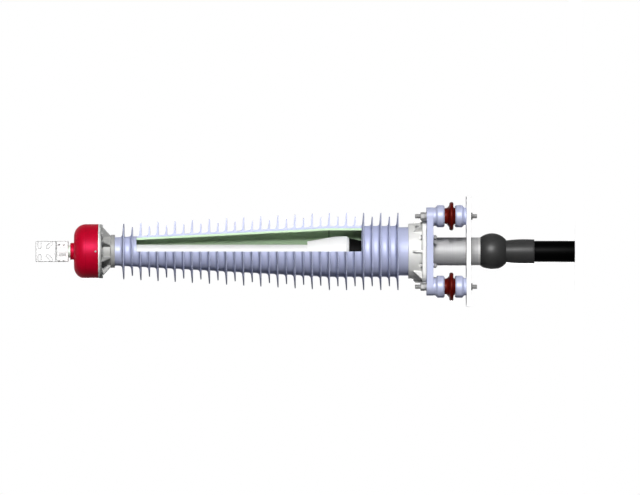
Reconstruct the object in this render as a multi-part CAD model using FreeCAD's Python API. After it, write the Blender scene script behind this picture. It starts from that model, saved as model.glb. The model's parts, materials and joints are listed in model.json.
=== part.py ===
import FreeCAD, Part
import math
import os

# Outdoor cable termination, sectioned display unit. Millimetres.
# +Z runs up the axis from the cable to the terminal pad, and the origin is the centre of the support plate's
# underside. The front is -Y. The section window takes out the quarter with X above zero and Y below zero.

# Fits between pieces, and what a cutting shape runs past the face that it cuts
FIT = 0.1
BOLT_CLEARANCE = 0.75
CUT_OVERRUN = 1.0
THREAD_RELIEF = 1.0

# Two places closer than this are the same place
SAME = 1e-6

# Support plate
SUPPORT_WIDTH = 500.0
SUPPORT_THICKNESS = 20.0
SUPPORT_EDGE_ROUND = 3.0
SUPPORT_BORE_R = 100.0
COUNTERBORE_WEB = 4.5
COUNTERBORE_MARGIN = 5.0

# Stand-offs
STANDOFF_PITCH = 320.0
BOSS_R = 39.0
BOSS_HEIGHT = 10.0
CAP_R = 50.0
CAP_HEIGHT = 41.0
CAP_BEVEL_HEIGHT = 10.0
CAP_ROUND = 9.0
RESIN_HEIGHT = 48.0
RESIN_R = 37.0
RESIN_SHED_R = 64.5
RESIN_TIP_R = 8.4
RESIN_ROOT_R = 8.0
STUD_R = 10.0
STUD_DEPTH = 32.0
UPPER_STUD_REACH = 51.5
LOWER_STUD_REACH = 28.0

# Stand-off fixings
M20_FLATS = 32.0
M20_WASHER_R = 19.0
M20_SPRING_R = 17.0
UPPER_NUT_HEIGHT = 18.0
UPPER_PLAIN_THICKNESS = 4.0
UPPER_SPRING_THICKNESS = 5.0
LOWER_NUT_HEIGHT = 16.0
LOWER_PLAIN_THICKNESS = 3.0
LOWER_SPRING_THICKNESS = 4.0

# Base plate
BASE_WIDTH = 400.0
BASE_THICKNESS = 30.0

# Bottom fitting
RIM_WIDTH = 284.0
RIM_THICKNESS = 20.0
RIM_CORNER_R = 46.0
COLLAR_HEIGHT = 63.0
COLLAR_FOOT_R = 131.0
COLLAR_TOP_R = 126.0
COLLAR_FILLET_R = 8.0
COLLAR_FLOOR = 5.0
COLLAR_FLOOR_CLEARANCE = 2.0
HOUSING_SOCKET_DEPTH = 10.0
GUSSET_COUNT = 8
GUSSET_THICKNESS = 10.0
GUSSET_REACH = 180.0
GUSSET_HEIGHT = 44.0
RIM_GASKET_R = 116.0
RIM_GASKET_WIDTH = 8.0
RIM_GASKET_DEPTH = 4.0

# Flange bolts
FLANGE_BOLT_CIRCLE_R = 141.0
FLANGE_BOLT_OFFSET_DEG = 26.8
SIDE_COUNT = 4
M12_R = 6.0
M12_FLATS = 19.0
M12_HEAD_HEIGHT = 7.5
M12_NUT_HEIGHT = 10.5
M12_WASHER_R = 12.0
M12_WASHER_THICKNESS = 3.0
M12_END = 3.0
POCKET_R = 14.0
POCKET_HEIGHT = 16.0

# Insulator
TUBE_WALL = 9.5
TUBE_FOOT_BORE_R = 96.0
TUBE_HEAD_BORE_R = 48.0
HOUSING_PLAIN_R = 110.0
HOUSING_FOOT_R = 116.0
HOUSING_HEAD_R = 65.0
PLAIN_LENGTH = 44.0
BARREL_LENGTH = 316.0
CONE_LENGTH = 958.0
HEAD_CUFF_LENGTH = 14.0
SHED_COUNT = 17
TOP_SHED_MARGIN = 29.0
LARGE_OVERHANG = 60.0
SMALL_OVERHANG = 42.5
SHED_TIP_THICKNESS = 5.0
SHED_SLOPE_DEG = 9.0
WINDOW_START = 212.0
WINDOW_LENGTH = 1022.0

# Cable
CONDUCTOR_R = 15.0
INSULATION_R = 31.3
SCREEN_THICKNESS = 2.2
BEDDING_THICKNESS = 6.4
SHEATH_THICKNESS = 3.6
JACKET_THICKNESS = 4.8
JACKET_ABRASION = 0.6
JACKET_ABRASION_MARGIN = 2.0
CABLE_TAIL = 184.0

# Stress cone
CONE_SEAT = 269.0
CONE_CHAMFER = 11.0
CONE_BAND = 53.0
CONE_TAPER = 125.0
CONE_MAX_R = 69.5
CONE_SHOULDER_R = 68.0
CONE_TIP_R = 46.3
CONE_FOOT_R = 62.0
DEFLECTOR_R = 60.5
DEFLECTOR_END_R = 38.0
DEFLECTOR_LENGTH = 108.0
SCREEN_OVERLAP = 20.0

# Entrance tube and cable seal
ENTRANCE_R = 64.0
ENTRANCE_WALL = 4.0
ENTRANCE_REACH = 214.0
ENTRANCE_FLANGE_R = 78.0
ENTRANCE_FLANGE_THICKNESS = 8.0
BULB_R = 83.0
BULB_NECK_R = 52.0
SLEEVE_LENGTH = 128.0
SLEEVE_TOP_R = 50.8
SLEEVE_R = 55.6
SLEEVE_SHOULDER = 64.0
SHEATH_INSERT = 40.0

# Head fitting
HEAD_RIM_R = 76.0
HEAD_RIM_HEIGHT = 19.0
HEAD_NECK_R = 68.0
HEAD_GROOVE_R = 63.0
HEAD_GROOVE_HEIGHT = 6.0
HEAD_HEIGHT = 60.0
HEAD_FLANGE_R = 124.0
HEAD_FLANGE_THICKNESS = 8.0
HEAD_SOCKET_DEPTH = 8.0
HEAD_TUBE_DEPTH = 50.0
HEAD_BORE_R = 42.0
HEAD_GUSSET_COUNT = 8
HEAD_GUSSET_THICKNESS = 8.0
HEAD_BOLT_COUNT = 8
HEAD_BOLT_CIRCLE_R = 114.0
HEAD_GASKET_R = 96.0
HEAD_GASKET_WIDTH = 8.0
HEAD_GASKET_DEPTH = 3.0
M8_R = 4.0
M8_FLATS = 13.0
M8_HEAD_HEIGHT = 5.5
M8_THREAD = 12.0

# Cover plate and shield
COVER_THICKNESS = 7.0
SPIGOT_WALL = 12.0
SPIGOT_HEIGHT = 18.0
SHIELD_R = 124.3
SHIELD_WALL = 4.0
SHIELD_HEIGHT = 110.6
SHIELD_SHOULDER_R = 54.5
NECK_RING_R = 39.3
NECK_RING_HEIGHT = 17.0
NECK_RING_CHAMFER = 3.0
SHIELD_SCREW_COUNT = 3
SHIELD_SCREW_HEIGHT = 11.0
M5_R = 2.5
M5_HEAD_R = 4.8
M5_HEAD_HEIGHT = 2.4
M5_LENGTH = 10.0

# Terminal stud and lock nut
TERMINAL_R = 28.6
TERMINAL_GAP = 8.4
SHOULDER_R = 36.0
SHOULDER_HEIGHT = 8.0
CRIMP_R = 24.0
CRIMP_LENGTH = 46.0
CRIMP_DEPTH = 40.0
INSULATION_GAP = 6.0
LOCK_NUT_FLATS = 78.0
LOCK_NUT_HEIGHT = 22.0

# Terminal palm
PALM_WIDTH = 94.4
PAD_LENGTH = 88.0
PAD_THICKNESS = 20.0
PAD_CORNER_R = 5.5
CLAMP_LENGTH = 61.0
CLAMP_DEPTH = 38.0
CLAMP_SPLIT = 2.0
CLAMP_CORNER_R = 5.5
KEEPER_DEPTH = 30.5
KEEPER_CHAMFER = 8.2
SADDLE_START = 9.5
SADDLE_LENGTH = 34.5
STUD_INSERT = 52.0
SLOT_SPACING = 57.2
SLOT_WIDTH = 14.0
SLOT_LENGTH = 30.0
SLOT_FROM_END = 17.7
CROSS_SLOT_WIDTH = 13.0
CROSS_SLOT_LENGTH = 35.0
CROSS_SLOT_FROM_END = 63.0
CROSS_SLOT_OFFSET = 28.2
CROSS_SLOT_TILT_DEG = 45.0
SCREW_OFFSET = 36.6
SCREW_LOW = 20.0
SCREW_HIGH = 42.2
SCREW_HEAD_R = 6.5
SCREW_HEAD_HEIGHT = 8.0
SCREW_THREAD = 24.0

# Heights of the main seats, worked out from the sizes above
COUNTERBORE_FLOOR = SUPPORT_THICKNESS - COUNTERBORE_WEB
BASE_UNDERSIDE = SUPPORT_THICKNESS + 2 * (BOSS_HEIGHT + CAP_HEIGHT) + RESIN_HEIGHT
BASE_TOP = BASE_UNDERSIDE + BASE_THICKNESS
RIM_TOP = BASE_TOP + RIM_THICKNESS
COLLAR_TOP = RIM_TOP + COLLAR_HEIGHT
BARREL_FOOT = COLLAR_TOP + PLAIN_LENGTH
CONE_FOOT = BARREL_FOOT + BARREL_LENGTH
CONE_HEAD = CONE_FOOT + CONE_LENGTH
HEAD_FOOT = CONE_HEAD + HEAD_CUFF_LENGTH
HEAD_FLANGE_UNDERSIDE = HEAD_FOOT + HEAD_HEIGHT
COVER_UNDERSIDE = HEAD_FLANGE_UNDERSIDE + HEAD_FLANGE_THICKNESS
COVER_TOP = COVER_UNDERSIDE + COVER_THICKNESS
SHIELD_TOP = COVER_TOP + SHIELD_HEIGHT
NECK_RING_TOP = SHIELD_TOP + NECK_RING_HEIGHT
PALM_FOOT = NECK_RING_TOP + TERMINAL_GAP
PAD_FOOT = PALM_FOOT + CLAMP_LENGTH
PALM_TOP = PAD_FOOT + PAD_LENGTH
ENTRANCE_END = BASE_UNDERSIDE - ENTRANCE_REACH
BULB_CENTRE = ENTRANCE_END - math.sqrt(BULB_R ** 2 - ENTRANCE_R ** 2)
BULB_END = BULB_CENTRE - math.sqrt(BULB_R ** 2 - BULB_NECK_R ** 2)
SLEEVE_END = BULB_END - SLEEVE_LENGTH
CABLE_END = SLEEVE_END - CABLE_TAIL
STRESS_CONE_SEAT = COLLAR_TOP + CONE_SEAT
CRIMP_FOOT = COVER_UNDERSIDE - CRIMP_LENGTH
INSULATION_TOP = CRIMP_FOOT - INSULATION_GAP

SCREEN_R = INSULATION_R + SCREEN_THICKNESS
BEDDING_R = SCREEN_R + BEDDING_THICKNESS
SHEATH_R = BEDDING_R + SHEATH_THICKNESS
JACKET_R = SHEATH_R + JACKET_THICKNESS
ABRADED_R = JACKET_R - JACKET_ABRASION
TUBE_FOOT_R = TUBE_FOOT_BORE_R + TUBE_WALL
TUBE_HEAD_R = TUBE_HEAD_BORE_R + TUBE_WALL
SPIGOT_R = SHIELD_R - SHIELD_WALL - FIT

STANDOFF_PLACES = [
    (sx * STANDOFF_PITCH / 2, sy * STANDOFF_PITCH / 2)
    for sx, sy in ((1, -1), (-1, -1), (-1, 1), (1, 1))
]


class Outline:
    """A closed outline in the half plane through the axis, drawn as radius and height."""

    def __init__(self, radius, height):
        self.start = FreeCAD.Vector(radius, 0, height)
        self.here = self.start
        self.edges = []

    def line(self, radius, height):
        """A straight stretch to the given radius and height, left out where it has no length."""
        end = FreeCAD.Vector(radius, 0, height)
        if (end - self.here).Length > SAME:
            self.edges.append(Part.LineSegment(self.here, end).toShape())
            self.here = end
        return self

    def arc(self, centre_radius, centre_height, radius, height):
        """An arc of less than half a turn about a centre, ending at the given radius and height."""
        centre = FreeCAD.Vector(centre_radius, 0, centre_height)
        end = FreeCAD.Vector(radius, 0, height)
        chord_middle = (self.here + end) * 0.5
        towards = (chord_middle - centre).normalize()
        middle = centre + towards * (self.here - centre).Length
        self.edges.append(Part.Arc(self.here, middle, end).toShape())
        self.here = end
        return self

    def turned(self):
        """The solid swept by the closed outline round the axis."""
        if (self.here - self.start).Length > SAME:
            self.line(self.start.x, self.start.z)
        face = Part.Face(Part.Wire(self.edges))
        return face.revolve(FreeCAD.Vector(0, 0, 0), FreeCAD.Vector(0, 0, 1), 360)


def rod(radius, bottom, top):
    return Part.makeCylinder(radius, top - bottom, FreeCAD.Vector(0, 0, bottom))


def ring(bore_r, outer_r, bottom, top):
    return rod(outer_r, bottom, top).cut(rod(bore_r, bottom, top))


def hexagon(across_flats, bottom, top):
    """A six-sided prism with two flats square to X."""
    corner_r = across_flats / math.sqrt(3)
    turns = [math.pi / 6 + math.pi / 3 * side for side in range(6)]
    corners = [FreeCAD.Vector(corner_r * math.cos(turn), corner_r * math.sin(turn), bottom) for turn in turns]
    face = Part.Face(Part.makePolygon(corners + corners[:1]))
    return face.extrude(FreeCAD.Vector(0, 0, top - bottom))


def nut(across_flats, bore_r, bottom, top):
    return hexagon(across_flats, bottom, top).cut(rod(bore_r, bottom, top))


def rounded_plate(width, corner_r, bottom, thickness):
    """A square plate with round corners, centred on the axis."""
    plate = Part.makeBox(
        width, width, thickness, FreeCAD.Vector(-width / 2, -width / 2, bottom)
    )
    upright = [edge for edge in plate.Edges if edge.BoundBox.ZLength > SAME]
    return plate.makeFillet(corner_r, upright)


def moved(shape, x, y, z=0.0):
    copy = shape.copy()
    copy.translate(FreeCAD.Vector(x, y, z))
    return copy


def turned_by(shape, degrees):
    copy = shape.copy()
    copy.rotate(FreeCAD.Vector(0, 0, 0), FreeCAD.Vector(0, 0, 1), degrees)
    return copy


def cut_all(shape, tools):
    return shape.cut(Part.makeCompound(tools))


def on_places(shape, places):
    """One copy of the shape at each place, as a group of separate solids."""
    return Part.makeCompound([moved(shape, x, y) for x, y in places])


def circle_places(radius, count, first_deg=0.0):
    """Places on a circle. Zero degrees is the front, and the angle grows towards +X."""
    turns = [math.radians(first_deg + 360.0 * i / count) for i in range(count)]
    return [(radius * math.sin(turn), -radius * math.cos(turn)) for turn in turns]


def flange_bolt_places():
    """Two bolts on each side of the square rim, one on each hand of its middle gusset."""
    places = []
    for offset in (-FLANGE_BOLT_OFFSET_DEG, FLANGE_BOLT_OFFSET_DEG):
        places += circle_places(FLANGE_BOLT_CIRCLE_R, SIDE_COUNT, offset)
    return places


def support_plate():
    plate = Part.makeBox(
        SUPPORT_WIDTH,
        SUPPORT_WIDTH,
        SUPPORT_THICKNESS,
        FreeCAD.Vector(-SUPPORT_WIDTH / 2, -SUPPORT_WIDTH / 2, 0),
    )
    plate = plate.makeFillet(SUPPORT_EDGE_ROUND, plate.Edges)
    hole = rod(STUD_R + BOLT_CLEARANCE, 0, SUPPORT_THICKNESS)
    counterbore = rod(M20_WASHER_R + COUNTERBORE_MARGIN, 0, COUNTERBORE_FLOOR)
    tools = [rod(SUPPORT_BORE_R, 0, SUPPORT_THICKNESS)]
    for x, y in STANDOFF_PLACES:
        tools.append(moved(hole, x, y))
        tools.append(moved(counterbore, x, y))
    return cut_all(plate, tools)


def standoff_cap():
    """A cap with its boss at height zero and its round end at the resin body above."""
    top = BOSS_HEIGHT + CAP_HEIGHT
    outline = Outline(0, 0)
    outline.line(BOSS_R, 0)
    outline.line(BOSS_R, BOSS_HEIGHT)
    outline.line(CAP_R, BOSS_HEIGHT + CAP_BEVEL_HEIGHT)
    outline.line(CAP_R, top - CAP_ROUND)
    outline.arc(CAP_R - CAP_ROUND, top - CAP_ROUND, CAP_R - CAP_ROUND, top)
    outline.line(0, top)
    return outline.turned().cut(rod(STUD_R + FIT, 0, STUD_DEPTH))


def standoff_resin():
    """The resin body from height zero, with one round-tipped shed that sweeps up into the body."""
    tip_centre_r = RESIN_SHED_R - RESIN_TIP_R
    tip_middle = RESIN_ROOT_R + RESIN_TIP_R
    sweep_foot = tip_middle + RESIN_TIP_R
    sweep_r = min(tip_centre_r - RESIN_R, RESIN_HEIGHT - sweep_foot)
    outline = Outline(0, 0)
    outline.line(RESIN_R, 0)
    outline.arc(RESIN_R + RESIN_ROOT_R, 0, RESIN_R + RESIN_ROOT_R, RESIN_ROOT_R)
    outline.line(tip_centre_r, RESIN_ROOT_R)
    outline.arc(tip_centre_r, tip_middle, RESIN_SHED_R, tip_middle)
    outline.arc(tip_centre_r, tip_middle, tip_centre_r, sweep_foot)
    outline.line(RESIN_R + sweep_r, sweep_foot)
    outline.arc(RESIN_R + sweep_r, sweep_foot + sweep_r, RESIN_R, sweep_foot + sweep_r)
    outline.line(RESIN_R, RESIN_HEIGHT)
    outline.line(0, RESIN_HEIGHT)
    return outline.turned()


def standoffs():
    """The named pieces of the four stand-offs."""
    lower_cap = standoff_cap()
    upper_cap = lower_cap.copy()
    upper_cap.rotate(FreeCAD.Vector(0, 0, 0), FreeCAD.Vector(1, 0, 0), 180)
    cap_top = SUPPORT_THICKNESS + BOSS_HEIGHT + CAP_HEIGHT
    pieces = {}
    for number, (x, y) in enumerate(STANDOFF_PLACES, start=1):
        pieces[f"standoff_{number}_lower_cap"] = moved(lower_cap, x, y, SUPPORT_THICKNESS)
        pieces[f"standoff_{number}_resin"] = moved(standoff_resin(), x, y, cap_top)
        pieces[f"standoff_{number}_upper_cap"] = moved(upper_cap, x, y, BASE_UNDERSIDE)
    return pieces


def upper_fixings():
    """Studs up through the base plate, with washers on top of it and nuts turned corner to the side."""
    spring_seat = BASE_TOP + UPPER_PLAIN_THICKNESS
    nut_seat = spring_seat + UPPER_SPRING_THICKNESS
    bore_r = STUD_R + FIT
    return {
        "upper_studs": rod(STUD_R, BASE_UNDERSIDE - STUD_DEPTH, BASE_TOP + UPPER_STUD_REACH),
        "upper_plain_washers": ring(bore_r, M20_WASHER_R, BASE_TOP, spring_seat),
        "upper_spring_washers": ring(bore_r, M20_SPRING_R, spring_seat, nut_seat),
        "upper_nuts": turned_by(nut(M20_FLATS, bore_r, nut_seat, nut_seat + UPPER_NUT_HEIGHT), 30),
    }


def lower_fixings():
    """Studs down through the support plate, with washers and nuts in its counterbores."""
    spring_seat = COUNTERBORE_FLOOR - LOWER_PLAIN_THICKNESS
    nut_seat = spring_seat - LOWER_SPRING_THICKNESS
    bore_r = STUD_R + FIT
    return {
        "lower_studs": rod(STUD_R, -LOWER_STUD_REACH, SUPPORT_THICKNESS + STUD_DEPTH),
        "lower_plain_washers": ring(bore_r, M20_WASHER_R, spring_seat, COUNTERBORE_FLOOR),
        "lower_spring_washers": ring(bore_r, M20_SPRING_R, nut_seat, spring_seat),
        "lower_nuts": nut(M20_FLATS, bore_r, nut_seat - LOWER_NUT_HEIGHT, nut_seat),
    }


def base_plate():
    corner_r = (BASE_WIDTH - STANDOFF_PITCH) / 2
    plate = rounded_plate(BASE_WIDTH, corner_r, BASE_UNDERSIDE, BASE_THICKNESS)
    stud_hole = rod(STUD_R + BOLT_CLEARANCE, BASE_UNDERSIDE, BASE_TOP)
    bolt_hole = rod(M12_R + BOLT_CLEARANCE, BASE_UNDERSIDE, BASE_TOP)
    tools = [
        rod(ENTRANCE_R + FIT, BASE_UNDERSIDE, BASE_TOP),
        rod(ENTRANCE_FLANGE_R + FIT, BASE_TOP - ENTRANCE_FLANGE_THICKNESS, BASE_TOP),
    ]
    tools += [moved(stud_hole, x, y) for x, y in STANDOFF_PLACES]
    tools += [moved(bolt_hole, x, y) for x, y in flange_bolt_places()]
    return cut_all(plate, tools)


def gusset(points, thickness):
    """A flat web in the plane through the axis and the front, from radius and height points."""
    corners = [FreeCAD.Vector(-thickness / 2, -radius, height) for radius, height in points]
    face = Part.Face(Part.makePolygon(corners + corners[:1]))
    return face.extrude(FreeCAD.Vector(thickness, 0, 0))


def bottom_fitting():
    """Collar on a square rim, with eight gussets that the rim's outline cuts short on its flat sides."""
    fillet_r = COLLAR_FOOT_R + COLLAR_FILLET_R
    collar = Outline(0, BASE_TOP)
    collar.line(COLLAR_FOOT_R, BASE_TOP)
    collar.line(fillet_r, RIM_TOP)
    collar.arc(fillet_r, RIM_TOP + COLLAR_FILLET_R, COLLAR_FOOT_R, RIM_TOP + COLLAR_FILLET_R)
    collar.line(COLLAR_TOP_R, COLLAR_TOP)
    collar.line(0, COLLAR_TOP)
    rim = rounded_plate(RIM_WIDTH, RIM_CORNER_R, BASE_TOP, RIM_THICKNESS)
    web = gusset(
        [
            (TUBE_FOOT_R, RIM_TOP),
            (GUSSET_REACH, RIM_TOP),
            (COLLAR_TOP_R, RIM_TOP + GUSSET_HEIGHT),
            (TUBE_FOOT_R, RIM_TOP + GUSSET_HEIGHT),
        ],
        GUSSET_THICKNESS,
    )
    webs = [turned_by(web, 360.0 * i / GUSSET_COUNT) for i in range(GUSSET_COUNT)]
    envelope = rounded_plate(RIM_WIDTH, RIM_CORNER_R, RIM_TOP, GUSSET_HEIGHT)
    webs = [piece.common(envelope) for piece in webs]
    pocket = rod(POCKET_R, RIM_TOP, RIM_TOP + POCKET_HEIGHT)
    hole = rod(M12_R + BOLT_CLEARANCE, BASE_TOP, RIM_TOP)
    tools = [
        rod(ENTRANCE_R + COLLAR_FLOOR_CLEARANCE, BASE_TOP, BASE_TOP + COLLAR_FLOOR),
        rod(TUBE_FOOT_R + FIT, BASE_TOP + COLLAR_FLOOR, COLLAR_TOP),
        rod(HOUSING_PLAIN_R + FIT, COLLAR_TOP - HOUSING_SOCKET_DEPTH, COLLAR_TOP),
        ring(
            RIM_GASKET_R - FIT,
            RIM_GASKET_R + RIM_GASKET_WIDTH + FIT,
            BASE_TOP,
            BASE_TOP + RIM_GASKET_DEPTH,
        ),
    ]
    for x, y in flange_bolt_places():
        tools.append(moved(pocket, x, y))
        tools.append(moved(hole, x, y))
    return cut_all(rim.fuse([collar.turned()] + webs).removeSplitter(), tools)


def flange_fixings():
    """Bolts down through rim and base plate, with a washer and a nut under the plate."""
    nut_seat = BASE_UNDERSIDE - M12_WASHER_THICKNESS
    nut_foot = nut_seat - M12_NUT_HEIGHT
    bore_r = M12_R + FIT
    head = hexagon(M12_FLATS, RIM_TOP, RIM_TOP + M12_HEAD_HEIGHT)
    return {
        "flange_bolts": head.fuse(rod(M12_R, nut_foot - M12_END, RIM_TOP)).removeSplitter(),
        "flange_washers": ring(bore_r, M12_WASHER_R, nut_seat, BASE_UNDERSIDE),
        "flange_nuts": nut(M12_FLATS, bore_r, nut_foot, nut_seat),
    }


def tapered_core(foot_r, head_r, bottom, top):
    """A solid that is straight at the foot, tapers along the cone and is straight again at the head."""
    outline = Outline(0, bottom)
    outline.line(foot_r, bottom)
    outline.line(foot_r, CONE_FOOT)
    outline.line(head_r, CONE_HEAD)
    outline.line(head_r, top)
    outline.line(0, top)
    return outline.turned()


def section_window():
    """The quarter that is cut away, as a block."""
    reach = HOUSING_FOOT_R + 2 * LARGE_OVERHANG
    return Part.makeBox(
        reach, reach, WINDOW_LENGTH, FreeCAD.Vector(0, -reach, COLLAR_TOP + WINDOW_START)
    )


def frp_tube():
    bottom = BASE_TOP + COLLAR_FLOOR
    top = HEAD_FOOT + HEAD_TUBE_DEPTH
    outside = tapered_core(TUBE_FOOT_R, TUBE_HEAD_R, bottom, top)
    bore = tapered_core(TUBE_FOOT_BORE_R, TUBE_HEAD_BORE_R, bottom, top)
    return outside.cut(bore).cut(section_window())


def housing_r(height):
    """The radius of the silicone body between its sheds."""
    if height <= CONE_FOOT:
        return HOUSING_FOOT_R
    share = min((height - CONE_FOOT) / CONE_LENGTH, 1.0)
    return HOUSING_FOOT_R + share * (HOUSING_HEAD_R - HOUSING_FOOT_R)


def shed_list():
    """Underside height and overhang of every shed from the base up, small ones between large ones."""
    last = CONE_HEAD - TOP_SHED_MARGIN
    half_pitch = (last - BARREL_FOOT) / (2 * (SHED_COUNT - 1))
    return [
        (BARREL_FOOT + step * half_pitch, SMALL_OVERHANG if step % 2 else LARGE_OVERHANG)
        for step in range(2 * SHED_COUNT - 1)
    ]


def silicone_housing():
    bottom = COLLAR_TOP - HOUSING_SOCKET_DEPTH
    top = HEAD_FOOT + HEAD_SOCKET_DEPTH
    outer = Outline(0, bottom)
    outer.line(HOUSING_PLAIN_R, bottom)
    outer.line(HOUSING_PLAIN_R, BARREL_FOOT)
    reached = BARREL_FOOT
    for low, overhang in shed_list():
        if reached < CONE_FOOT < low:
            outer.line(HOUSING_FOOT_R, CONE_FOOT)
        if low > BARREL_FOOT:
            outer.line(housing_r(low), low)
        tip_r = housing_r(low) + overhang
        reached = low + SHED_TIP_THICKNESS + overhang * math.tan(math.radians(SHED_SLOPE_DEG))
        outer.line(tip_r, low)
        outer.line(tip_r, low + SHED_TIP_THICKNESS)
        outer.line(housing_r(reached), reached)
    outer.line(HOUSING_HEAD_R, CONE_HEAD)
    outer.line(HOUSING_HEAD_R, top)
    outer.line(0, top)
    bore = tapered_core(TUBE_FOOT_R + FIT, TUBE_HEAD_R + FIT, bottom, top)
    return outer.turned().cut(bore).cut(section_window())


def cable_layers():
    """The cable's own layers, from the cut end up to where each is stripped back."""
    conductor_top = CRIMP_FOOT + CRIMP_DEPTH - FIT
    screen_top = STRESS_CONE_SEAT + SCREEN_OVERLAP
    sheath_top = BULB_CENTRE + SHEATH_INSERT
    return {
        "cable_conductor": rod(CONDUCTOR_R, CABLE_END, conductor_top),
        "cable_insulation": ring(CONDUCTOR_R + FIT, INSULATION_R, CABLE_END, INSULATION_TOP),
        "insulation_screen": ring(INSULATION_R + FIT, SCREEN_R, CABLE_END, screen_top),
        "cable_bedding": ring(SCREEN_R + FIT, BEDDING_R, CABLE_END, sheath_top),
        "metal_sheath": ring(BEDDING_R + FIT, SHEATH_R, CABLE_END, sheath_top),
        "cable_jacket": cable_jacket(),
    }


def cable_jacket():
    """Outer jacket, roughened to a slightly smaller radius where the sleeve grips it."""
    abraded_foot = SLEEVE_END - JACKET_ABRASION_MARGIN
    outline = Outline(SHEATH_R + FIT, CABLE_END)
    outline.line(JACKET_R, CABLE_END)
    outline.line(JACKET_R, abraded_foot)
    outline.line(ABRADED_R, abraded_foot)
    outline.line(ABRADED_R, BULB_END - FIT)
    outline.line(SHEATH_R + FIT, BULB_END - FIT)
    return outline.turned()


def stress_cone():
    """White rubber cone with its small end up, on the insulation and over the end of the screen."""
    seat = STRESS_CONE_SEAT
    step = seat + SCREEN_OVERLAP + FIT
    outline = Outline(SCREEN_R + FIT, seat)
    outline.line(CONE_FOOT_R, seat)
    outline.line(CONE_MAX_R, seat + CONE_CHAMFER)
    outline.line(CONE_SHOULDER_R, seat + CONE_CHAMFER + CONE_BAND)
    outline.line(CONE_TIP_R, seat + CONE_CHAMFER + CONE_BAND + CONE_TAPER)
    outline.line(INSULATION_R + FIT, seat + CONE_CHAMFER + CONE_BAND + CONE_TAPER)
    outline.line(INSULATION_R + FIT, step)
    outline.line(SCREEN_R + FIT, step)
    return outline.turned()


def field_deflector():
    """Black cone under the stress cone, tapering down to the screened cable."""
    outline = Outline(SCREEN_R + FIT, STRESS_CONE_SEAT - DEFLECTOR_LENGTH)
    outline.line(DEFLECTOR_END_R, STRESS_CONE_SEAT - DEFLECTOR_LENGTH)
    outline.line(DEFLECTOR_R, STRESS_CONE_SEAT)
    outline.line(SCREEN_R + FIT, STRESS_CONE_SEAT)
    return outline.turned()


def entrance_tube():
    """Tube with a flange at its top, let into the base plate."""
    flange_foot = BASE_TOP - ENTRANCE_FLANGE_THICKNESS
    bore_r = ENTRANCE_R - ENTRANCE_WALL
    outline = Outline(bore_r, ENTRANCE_END)
    outline.line(ENTRANCE_R, ENTRANCE_END)
    outline.line(ENTRANCE_R, flange_foot)
    outline.line(ENTRANCE_FLANGE_R, flange_foot)
    outline.line(ENTRANCE_FLANGE_R, BASE_TOP)
    outline.line(bore_r, BASE_TOP)
    return outline.turned()


def wiped_bulb():
    """Ball that closes the gap between the tube's end and the cable's sheath."""
    outline = Outline(SHEATH_R + FIT, BULB_END)
    outline.line(BULB_NECK_R, BULB_END)
    outline.arc(0, BULB_CENTRE, ENTRANCE_R, ENTRANCE_END)
    outline.line(SHEATH_R + FIT, ENTRANCE_END)
    return outline.turned()


def shrink_sleeve():
    outline = Outline(ABRADED_R + FIT, SLEEVE_END)
    outline.line(SLEEVE_R, SLEEVE_END)
    outline.line(SLEEVE_R, BULB_END - SLEEVE_SHOULDER)
    outline.line(SLEEVE_TOP_R, BULB_END)
    outline.line(ABRADED_R + FIT, BULB_END)
    return outline.turned()


def head_fitting():
    """Collar with a thick lower rim, a grooved neck, a wide flange and eight gussets."""
    rim_top = HEAD_FOOT + HEAD_RIM_HEIGHT
    neck = Outline(0, HEAD_FOOT)
    neck.line(HEAD_RIM_R, HEAD_FOOT)
    neck.line(HEAD_RIM_R, rim_top)
    neck.line(HEAD_NECK_R, rim_top)
    neck.line(HEAD_NECK_R, HEAD_FLANGE_UNDERSIDE - HEAD_GROOVE_HEIGHT)
    neck.line(HEAD_GROOVE_R, HEAD_FLANGE_UNDERSIDE - HEAD_GROOVE_HEIGHT)
    neck.line(HEAD_GROOVE_R, HEAD_FLANGE_UNDERSIDE)
    neck.line(HEAD_FLANGE_R, HEAD_FLANGE_UNDERSIDE)
    neck.line(HEAD_FLANGE_R, COVER_UNDERSIDE)
    neck.line(0, COVER_UNDERSIDE)
    web = gusset(
        [
            (TUBE_HEAD_R, rim_top),
            (HEAD_RIM_R, rim_top),
            (HEAD_FLANGE_R, HEAD_FLANGE_UNDERSIDE),
            (TUBE_HEAD_R, HEAD_FLANGE_UNDERSIDE),
        ],
        HEAD_GUSSET_THICKNESS,
    )
    step = 360.0 / HEAD_GUSSET_COUNT
    webs = [turned_by(web, step * (i + 0.5)) for i in range(HEAD_GUSSET_COUNT)]
    hole = rod(M8_R + BOLT_CLEARANCE, HEAD_FLANGE_UNDERSIDE, COVER_UNDERSIDE)
    tools = [
        rod(HOUSING_HEAD_R + FIT, HEAD_FOOT, HEAD_FOOT + HEAD_SOCKET_DEPTH),
        rod(TUBE_HEAD_R + FIT, HEAD_FOOT, HEAD_FOOT + HEAD_TUBE_DEPTH),
        rod(HEAD_BORE_R, HEAD_FOOT, COVER_UNDERSIDE),
        ring(
            HEAD_GASKET_R - FIT,
            HEAD_GASKET_R + HEAD_GASKET_WIDTH + FIT,
            COVER_UNDERSIDE - HEAD_GASKET_DEPTH,
            COVER_UNDERSIDE,
        ),
    ]
    tools += [moved(hole, x, y) for x, y in circle_places(HEAD_BOLT_CIRCLE_R, HEAD_BOLT_COUNT)]
    return cut_all(neck.turned().fuse(webs).removeSplitter(), tools)


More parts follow.
